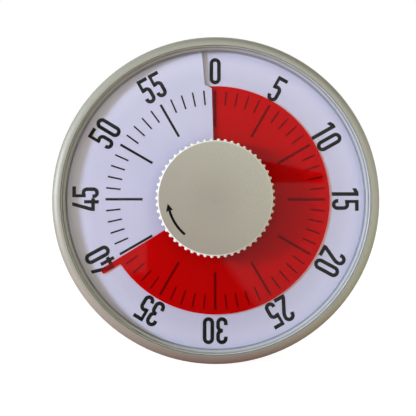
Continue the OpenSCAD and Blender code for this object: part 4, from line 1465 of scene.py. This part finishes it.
@dataclass
class WindingKnob(SubAssembly):
    """Ribbed winding knob with its arrow."""

    paint: SilverPaint = SilverPaint(
        "silver_knob_paint",
        (0.53, 0.515, 0.44),
        (0.54, 0.52, 0.45),
        flake_mm=0.35,
        glitter=0.12,
        # The ribs' pale colour is partly a painted highlight, and the face gets painted shade.
        rubbed=(0.92, 0.92, 0.89),
        crown=1.8,
        wear=HandWear(faded=(0.445, 0.42, 0.365)),
    )
    ink: PrintInk = PrintInk("knob_ink", (0.004, 0.004, 0.004), (0.007, 0.006, 0.006), sheen=0.06)

    def build(self) -> None:
        """Dresses the knob and prints its arrow."""
        self.dress("knob", self.paint)
        KnobArrow(self.frame).build(self.ink.build(self.effects, self.frame.origin, self.frame.turn))


@dataclass
class Clockwork(SubAssembly):
    """Plates, train, escapement, spring and alarm between the dial and the back of the case."""

    plate_brass: BareMetal = BareMetal("brushed_plate_brass", pitch_mm=0.3, roughness=0.34, **BRASS)
    turned_steel: BareMetal = BareMetal("turned_arbor_steel", cut=Cut.TURNED, roughness=0.28, **STEEL)
    ground_steel: BareMetal = BareMetal("ground_lever_steel", pitch_mm=0.2, roughness=0.32, **STEEL)
    blued: BareMetal = BareMetal(
        "blued_spring_steel", (0.10, 0.14, 0.26), (0.07, 0.08, 0.16), 0.28, Cut.BRUSHED, pitch_mm=0.3
    )
    nickel: BareMetal = BareMetal(
        "nickel_plated_bell", (0.78, 0.77, 0.73), (0.72, 0.71, 0.68), 0.16, Cut.TURNED, pitch_mm=0.8
    )

    def build(self) -> None:
        """Dresses the clockwork."""
        self.dress_all(["back_plate", "front_plate"], self.plate_brass)
        train = ("great_wheel", "second_wheel", "third_wheel", "fourth_wheel", "escape_wheel")
        for part in (*train, "balance_wheel", "alarm_cam", "hammer_head"):
            name = f"turned_brass_{part}"
            turned_brass = BareMetal(name, cut=Cut.TURNED, pitch_mm=0.35, roughness=0.26, **BRASS)
            self.dress(part, turned_brass, own_axis=True)
        posts = ["main_arbor", "pillars", "bell_post", "spring_post", "movement_screws"]
        self.dress_all(posts, self.turned_steel)
        levers = ["pillar_nuts", "ratchet_wheel", "click", "pallet_lever", "hammer_lever"]
        self.dress_all(levers, self.ground_steel)
        self.dress_all(["mainspring", "click_spring", "hammer_spring"], self.blued)
        self.dress("bell", self.nickel, own_axis=True)
        self.dress("bell_screw", self.turned_steel)


@dataclass
class Stand(SubAssembly):
    """Folding leg with its pin and rubber feet."""

    leg: MouldedPlastic = MouldedPlastic(
        "grey_leg_plastic", (0.27, 0.27, 0.26), (0.25, 0.25, 0.245), roughness=0.48, depth_mm=0.025
    )
    pin: BareMetal = BareMetal("leg_pin_steel", roughness=0.3, pitch_mm=0.2, **STEEL)
    feet: PressedGrit = PressedGrit(
        "black_foot_rubber", (0.028, 0.028, 0.028), (0.04, 0.04, 0.038), 0.75, grit_mm=0.3, depth_mm=0.02
    )

    def build(self) -> None:
        """Dresses the stand."""
        self.dress("stand_leg", self.leg)
        self.dress("leg_pin", self.pin)
        self.dress("leg_feet", self.feet)


# --------------------------------------------------------------------------------------------------
# Studio
# --------------------------------------------------------------------------------------------------


@dataclass(frozen=True)
class Lamp:
    """A square soft lamp that points at the dial.

    Args:
        name: The lamp's name.
        clock_deg: Its clock position round the dial.
        lean_deg: How far it leans away from the dial's axis.
        distance_m: How far it stands from the dial.
        side_m: Length of its sides.
        watts: Its power.
        colour: Colour of its light.
    """

    name: str
    clock_deg: float
    lean_deg: float
    distance_m: float
    side_m: float
    watts: float
    colour: Colour = (1.0, 1.0, 1.0)

    def direction(self, frame: DialFrame) -> Vector:
        """Gives the way from the dial to the lamp, in the world."""
        lean, clock = math.radians(self.lean_deg), math.radians(self.clock_deg)
        aside = Vector((math.sin(clock), math.cos(clock), 0.0)) * math.sin(lean)
        return frame.turn.to_matrix() @ (aside + Vector((0.0, 0.0, math.cos(lean))))

    def build(self, frame: DialFrame) -> None:
        """Hangs the lamp at its clock position, leaning away from the dial's axis.

        Rays that went through the lens don't see it, because shadow rays already count its light there.
        """
        out = self.direction(frame)
        data = bpy.data.lights.new(self.name, "AREA")
        data.shape = "SQUARE"
        data.size = self.side_m
        data.energy = self.watts
        data.color = self.colour
        lamp = bpy.data.objects.new(self.name, data)
        lamp.visible_camera = False
        lamp.visible_transmission = False
        lamp.visible_glossy = False
        aim = out.to_track_quat("Z", "Y").to_matrix().to_4x4()
        lamp.matrix_world = Matrix.Translation(frame.origin + out * self.distance_m) @ aim
        bpy.context.scene.collection.objects.link(lamp)
        LOG.info("lamp %s", self.name)


@dataclass(frozen=True)
class TableTop:
    """The table top: white to the eye, and for every other ray a glow of several colours that paints light on
    the timer.

    Args:
        middle: Glow below the timer: partly the table's own colour, and darker with painted shade where the
            timer's shadow falls.
        left: Glow to its left.
        right: Glow to its right.
        back: Glow behind it.
        matt: Share of a lamp's light that it scatters.
        glow: Light of its own, which makes it white.
        sides_x_m: Where left and right begin and are full.
        back_y_m: Where back begins and is full.
        half_side_m: Half the length of its sides.
        drop_m: Gap below the object's lowest point.
    """

    middle: Colour = (0.33, 0.12, 0.11)
    left: Colour = (1.08, 0.86, 0.83)
    right: Colour = (0.66, 0.68, 0.50)
    back: Colour = (0.72, 0.71, 0.69)
    matt: float = 0.16
    glow: float = 0.95
    sides_x_m: tuple[float, float] = (0.02, 0.15)
    back_y_m: tuple[float, float] = (0.0, 0.06)
    half_side_m: float = 3.0
    drop_m: float = 0.0002

    def material(self) -> bpy.types.Material:
        """Makes the table top's material, which keeps the object's soft shadow."""
        material = bpy.data.materials.new("white_table_top")
        material.use_nodes = True
        t = Tree(material.node_tree)
        t.tree.nodes.clear()
        matt = t.add("BsdfDiffuse", {"Color": (self.matt,) * 3})
        glow = t.add("Emission", {"Color": (1.0, 1.0, 1.0), "Strength": self.glow})
        seen = t.add("AddShader", {0: matt.outputs[0], 1: glow.outputs[0]})
        place = t.add("SeparateXYZ", {0: t.add("TexCoord").outputs["Object"]}).outputs
        start, end = self.sides_x_m
        right = t.blend(t.span(place["X"], start, end), self.middle, self.right)
        front = t.blend(t.span(place["X"], -start, -end), right, self.left)
        # For rays other than the camera's the table glows: painted light on the timer, dark below it as
        # painted shade.
        painted_bounce_glow = t.add("Emission", {"Color": t.blend(t.span(place["Y"], *self.back_y_m), front, self.back)})
        path = t.add("LightPath")
        mix = t.add("MixShader", {0: path.outputs["Is Camera Ray"], 1: painted_bounce_glow.outputs[0], 2: seen.outputs[0]})
        t.add("OutputMaterial", {"Surface": mix.outputs[0]})
        return material

    def build(self, height_m: float) -> None:
        """Lays the table top below the object.

        Args:
            height_m: Height of the object's lowest point.
        """
        bm = bmesh.new()
        bmesh.ops.create_grid(bm, x_segments=8, y_segments=8, size=self.half_side_m)
        bmesh.ops.translate(bm, verts=bm.verts[:], vec=(0.0, 0.0, height_m - self.drop_m))
        floor = loose_object(bm, "table_top")
        floor.data.materials.append(self.material())
        floor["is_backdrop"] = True


@dataclass(frozen=True)
class RoomAhead:
    """What the lens mirrors from straight in front: a dark room with a few pale things in it.

    Each pair is where something begins and where it is full, as X or Y of a direction in the dial's
    frame.

    Args:
        colour: Colour of the pale things.
        right_wall: Edge of the wall to the right of a slanting line, across that line.
        corner_x: Right edge of the corner at the lower left.
        corner_y: Lower edge of that corner.
        arm_y: Lower edge of the arm that cuts the wall.
        arm_top: Its upper edge, which slopes by arm_slope.
        arm_end: Its right end.
        arm_slope: How far its upper edge falls for each unit of X.
    """

    colour: Colour = (0.15, 0.15, 0.16)
    right_wall: tuple[float, float] = (-0.003, 0.006)
    corner_x: tuple[float, float] = (-0.0625, -0.0655)
    corner_y: tuple[float, float] = (-0.026, -0.019)
    arm_y: tuple[float, float] = (0.0620, 0.0650)
    arm_top: tuple[float, float] = (0.0965, 0.0945)
    arm_end: tuple[float, float] = (0.108, 0.104)
    arm_slope: float = 0.22

    def build(
        self, t: Tree, way: bpy.types.NodeOutputs, across: bpy.types.NodeSocket
    ) -> bpy.types.NodeSocket:
        """Gives the colour for each direction.

        Args:
            t: The world's nodes.
            way: Direction in the dial's frame, as X, Y and Z.
            across: How far the direction lies across the wall's slanting line.

        Returns:
            The colour.
        """
        right_wall = t.span(across, *self.right_wall)
        corner = t.math("MULTIPLY", t.span(way["X"], *self.corner_x), t.span(way["Y"], *self.corner_y))
        top = t.math("MULTIPLY_ADD", way["X"], self.arm_slope, way["Y"])
        arm = t.math("MULTIPLY", t.span(way["Y"], *self.arm_y), t.span(top, *self.arm_top))
        arm = t.math("MULTIPLY", arm, t.span(way["X"], *self.arm_end))
        pale = t.math("SUBTRACT", t.math("MAXIMUM", right_wall, corner), arm)
        return t.blend(pale, (0.0, 0.0, 0.0), self.colour)


@dataclass
class Studio:
    """White sweep, soft lamps, surroundings and the camera.

    Args:
        frame: The dial's frame.
        eye: The camera's place in the dial's frame, in millimetres.
        pitch_deg: How far the camera looks up.
        yaw_deg: How far it looks to its left.
        lens_mm: Focal length, on a sensor sensor_mm wide.
        sensor_mm: Width of the sensor.
        shift: Lens shift, in widths of the view.
        front: Soft light from ahead of the dial, as left, right, up, down and back from their sides.
        near_left: What gloss mirrors close to the dial's axis on the left, as near_right on the right.
        mirror_ring: What gloss mirrors round the dial, clockwise from the top.
        behind: What gloss mirrors from behind the dial.
        window: A bright window behind the key lamp, seen only in gloss.
        slant: X and Y of the way that counts as across, from left to right.
        near_across: How far across near_left ends and near_right is full.
        behind_z: Z of a direction where behind begins and is full, as near_z and ahead_z for what
            gloss mirrors close to the dial's axis and straight ahead.
        window_cosine: Closeness to the key lamp's direction where the window begins and is full.
        ahead: What the lens mirrors from straight in front.
        table: The table top.
        key: The key lamp.
    """

    frame: DialFrame
    eye: tuple[float, float, float] = (-1.15, -28.92, 636.0)
    pitch_deg: float = 3.916
    yaw_deg: float = -1.119
    lens_mm: float = 89.478
    sensor_mm: float = 36.0
    shift: tuple[float, float] = (0.03606, -0.07212)
    front: Colour = (1.48, 1.46, 0.98)
    left: Colour = (1.28, 1.29, 1.40)
    right: Colour = (0.36, 0.35, 0.33)
    up: Colour = (0.48, 0.42, 0.42)
    down: Colour = (0.25, 0.18, 0.15)
    back: Colour = (1.30, 1.28, 1.24)
    near_left: Colour = (0.60, 0.64, 0.62)
    near_right: Colour = (1.50, 1.56, 1.46)
    mirror_ring: tuple[Colour, ...] = (
        (0.09, 0.14, 0.09),
        (0.05, 0.07, 0.05),
        (1.30, 1.18, 1.22),
        (0.90, 0.80, 0.70),
        (0.40, 0.25, 0.20),
        (0.85, 0.75, 0.70),
        (1.10, 1.15, 1.18),
        (1.00, 1.10, 1.08),
    )
    behind: Colour = (0.70, 0.70, 0.68)
    window: Colour = (5.0, 5.6, 6.4)
    slant: tuple[float, float] = (0.80, 0.60)
    near_across: tuple[float, float] = (-0.15, 0.25)
    behind_z: tuple[float, float] = (0.0, -0.3)
    near_z: tuple[float, float] = (0.76, 0.84)
    ahead_z: tuple[float, float] = (0.94, 0.97)
    window_cosine: tuple[float, float] = (0.965, 0.985)
    ahead: RoomAhead = RoomAhead()
    table: TableTop = TableTop()
    key: Lamp = Lamp("key_left", 279.0, 51.0, 1.6, 0.26, 18.4, (0.555, 0.65, 0.90))

    def camera(self) -> None:
        """Stands the camera in front of the dial."""
        pitch, yaw = math.radians(self.pitch_deg), math.radians(self.yaw_deg)
        right = Vector((math.cos(yaw), -math.sin(yaw) * math.sin(pitch), math.sin(yaw) * math.cos(pitch)))
        up = Vector((0.0, math.cos(pitch), math.sin(pitch)))
        turn = Matrix((right, up, right.cross(up))).transposed()
        data = bpy.data.cameras.new("camera")
        data.sensor_width = self.sensor_mm
        data.lens = self.lens_mm
        data.shift_x, data.shift_y = self.shift
        camera = bpy.data.objects.new("camera", data)
        place = self.frame.matrix @ Vector(self.eye)
        camera.matrix_world = Matrix.Translation(place) @ (self.frame.turn.to_matrix() @ turn).to_4x4()
        bpy.context.scene.collection.objects.link(camera)
        bpy.context.scene.camera = camera

    def soft_light(self, t: Tree, way: bpy.types.NodeOutputs) -> bpy.types.NodeSocket:
        """Gives the room's soft light by direction: the colours of six walls, each by its share.

        Args:
            t: The world's nodes.
            way: Direction in the dial's frame, as X, Y and Z.

        Returns:
            The colour.
        """
        parts = []
        for axis, ahead, behind in (
            ("Z", self.front, self.back),
            ("X", self.right, self.left),
            ("Y", self.up, self.down),
        ):
            for colour, sign in ((ahead, 1.0), (behind, -1.0)):
                towards = t.span(way[axis], 0.0, sign)
                parts.append(t.scaled(colour, t.math("MULTIPLY", towards, towards)))
        return functools.reduce(t.sum, parts)

    def ring_of_walls(self, t: Tree, way: bpy.types.NodeOutputs) -> bpy.types.NodeSocket:
        """Gives what gloss mirrors round the dial: a colour for each eighth of the clock, blended.

        Args:
            t: The world's nodes.
            way: Direction in the dial's frame, as X, Y and Z.

        Returns:
            The colour.
        """
        clock = t.math("DIVIDE", t.math("ARCTAN2", way["X"], way["Y"]), 2 * math.pi)
        ramp = t.add("ValToRGB", {0: t.math("FRACT", t.math("ADD", clock, 1.0))})
        stops = ramp.color_ramp.elements
        for n, colour in enumerate((*self.mirror_ring, self.mirror_ring[0])):
            place = n / len(self.mirror_ring)
            stop = stops[n] if n < 1 else stops[-1] if n == len(self.mirror_ring) else stops.new(place)
            stop.color = (*(c / 2 for c in colour), 1.0)
        return t.scaled(ramp.outputs[0], 2.0)

    def surroundings(self) -> None:
        """Makes the room: white to the eye, soft light on the object, and what gloss mirrors.

        A camera ray, and one that goes on through the lens, sees plain white. The first mirrored ray sees
        the mirrored room, and every other ray the soft light.
        """
        world = bpy.data.worlds.new("soft_room")
        world.use_nodes = True
        world.cycles.sampling_method = "NONE"
        bpy.context.scene.world = world
        t = Tree(world.node_tree)
        t.tree.nodes.clear()
        turned = t.add("Mapping", {"Rotation": (-self.frame.tilt, 0.0, 0.0)}, vector_type="VECTOR")
        t.feed(turned.inputs["Vector"], t.add("TexCoord").outputs["Generated"])
        way = t.add("SeparateXYZ", {0: turned.outputs[0]}).outputs
        path = t.add("LightPath").outputs
        across = t.dot(turned.outputs[0], (*self.slant, 0.0))
        near = t.blend(t.span(across, *self.near_across), self.near_left, self.near_right)
        walls = t.blend(t.span(way["Z"], *self.behind_z), self.ring_of_walls(t, way), self.behind)
        room = t.blend(t.span(way["Z"], *self.near_z), walls, near)
        room = t.blend(t.span(way["Z"], *self.ahead_z), room, self.ahead.build(t, way, across))
        to_key = t.dot(t.add("TexCoord").outputs["Generated"], tuple(self.key.direction(self.frame)))
        mirrored = t.blend(t.span(to_key, *self.window_cosine), room, self.window)
        once = t.math("LESS_THAN", path["Diffuse Depth"], 0.5)
        gloss = t.math("MULTIPLY", t.math("GREATER_THAN", path["Glossy Depth"], 0.5), once)
        lit = t.blend(gloss, self.soft_light(t, way), mirrored)
        eye = t.math("MAXIMUM", path["Is Camera Ray"], path["Is Transmission Ray"])
        seen = t.math("MULTIPLY", eye, t.math("SUBTRACT", once, gloss))
        colour = t.blend(seen, lit, (1.0, 1.0, 1.0))
        shade = t.add("Background", {"Color": colour, "Strength": 1.0})
        t.add("OutputWorld", {"Surface": shade.outputs[0]})

    def build(self, height_m: float) -> None:
        """Sets up the studio round an object that stands at a height."""
        bpy.context.scene.view_settings.view_transform = "Standard"
        self.surroundings()
        self.table.build(height_m)
        self.key.build(self.frame)
        self.camera()


# --------------------------------------------------------------------------------------------------


def corners(box: tuple[Vector, Vector]) -> list[list[float]]:
    """Gives a box as plain lists of numbers."""
    return [list(box[0]), list(box[1])]


def main() -> None:
    """Dresses the timer and sets up the studio."""
    logging.basicConfig(level=logging.INFO, format="%(name)s %(message)s")
    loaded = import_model()
    cad_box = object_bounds()
    frame = DialFrame.from_joints(loaded["joints"])
    effects = Effects()
    nodes = loaded["nodes"]
    for part in (Case, Face, WindingKnob, Clockwork, Stand):
        part(frame, nodes, effects).build()
    Studio(frame).build(cad_box[0].z)


if __name__ == "__main__":
    main()
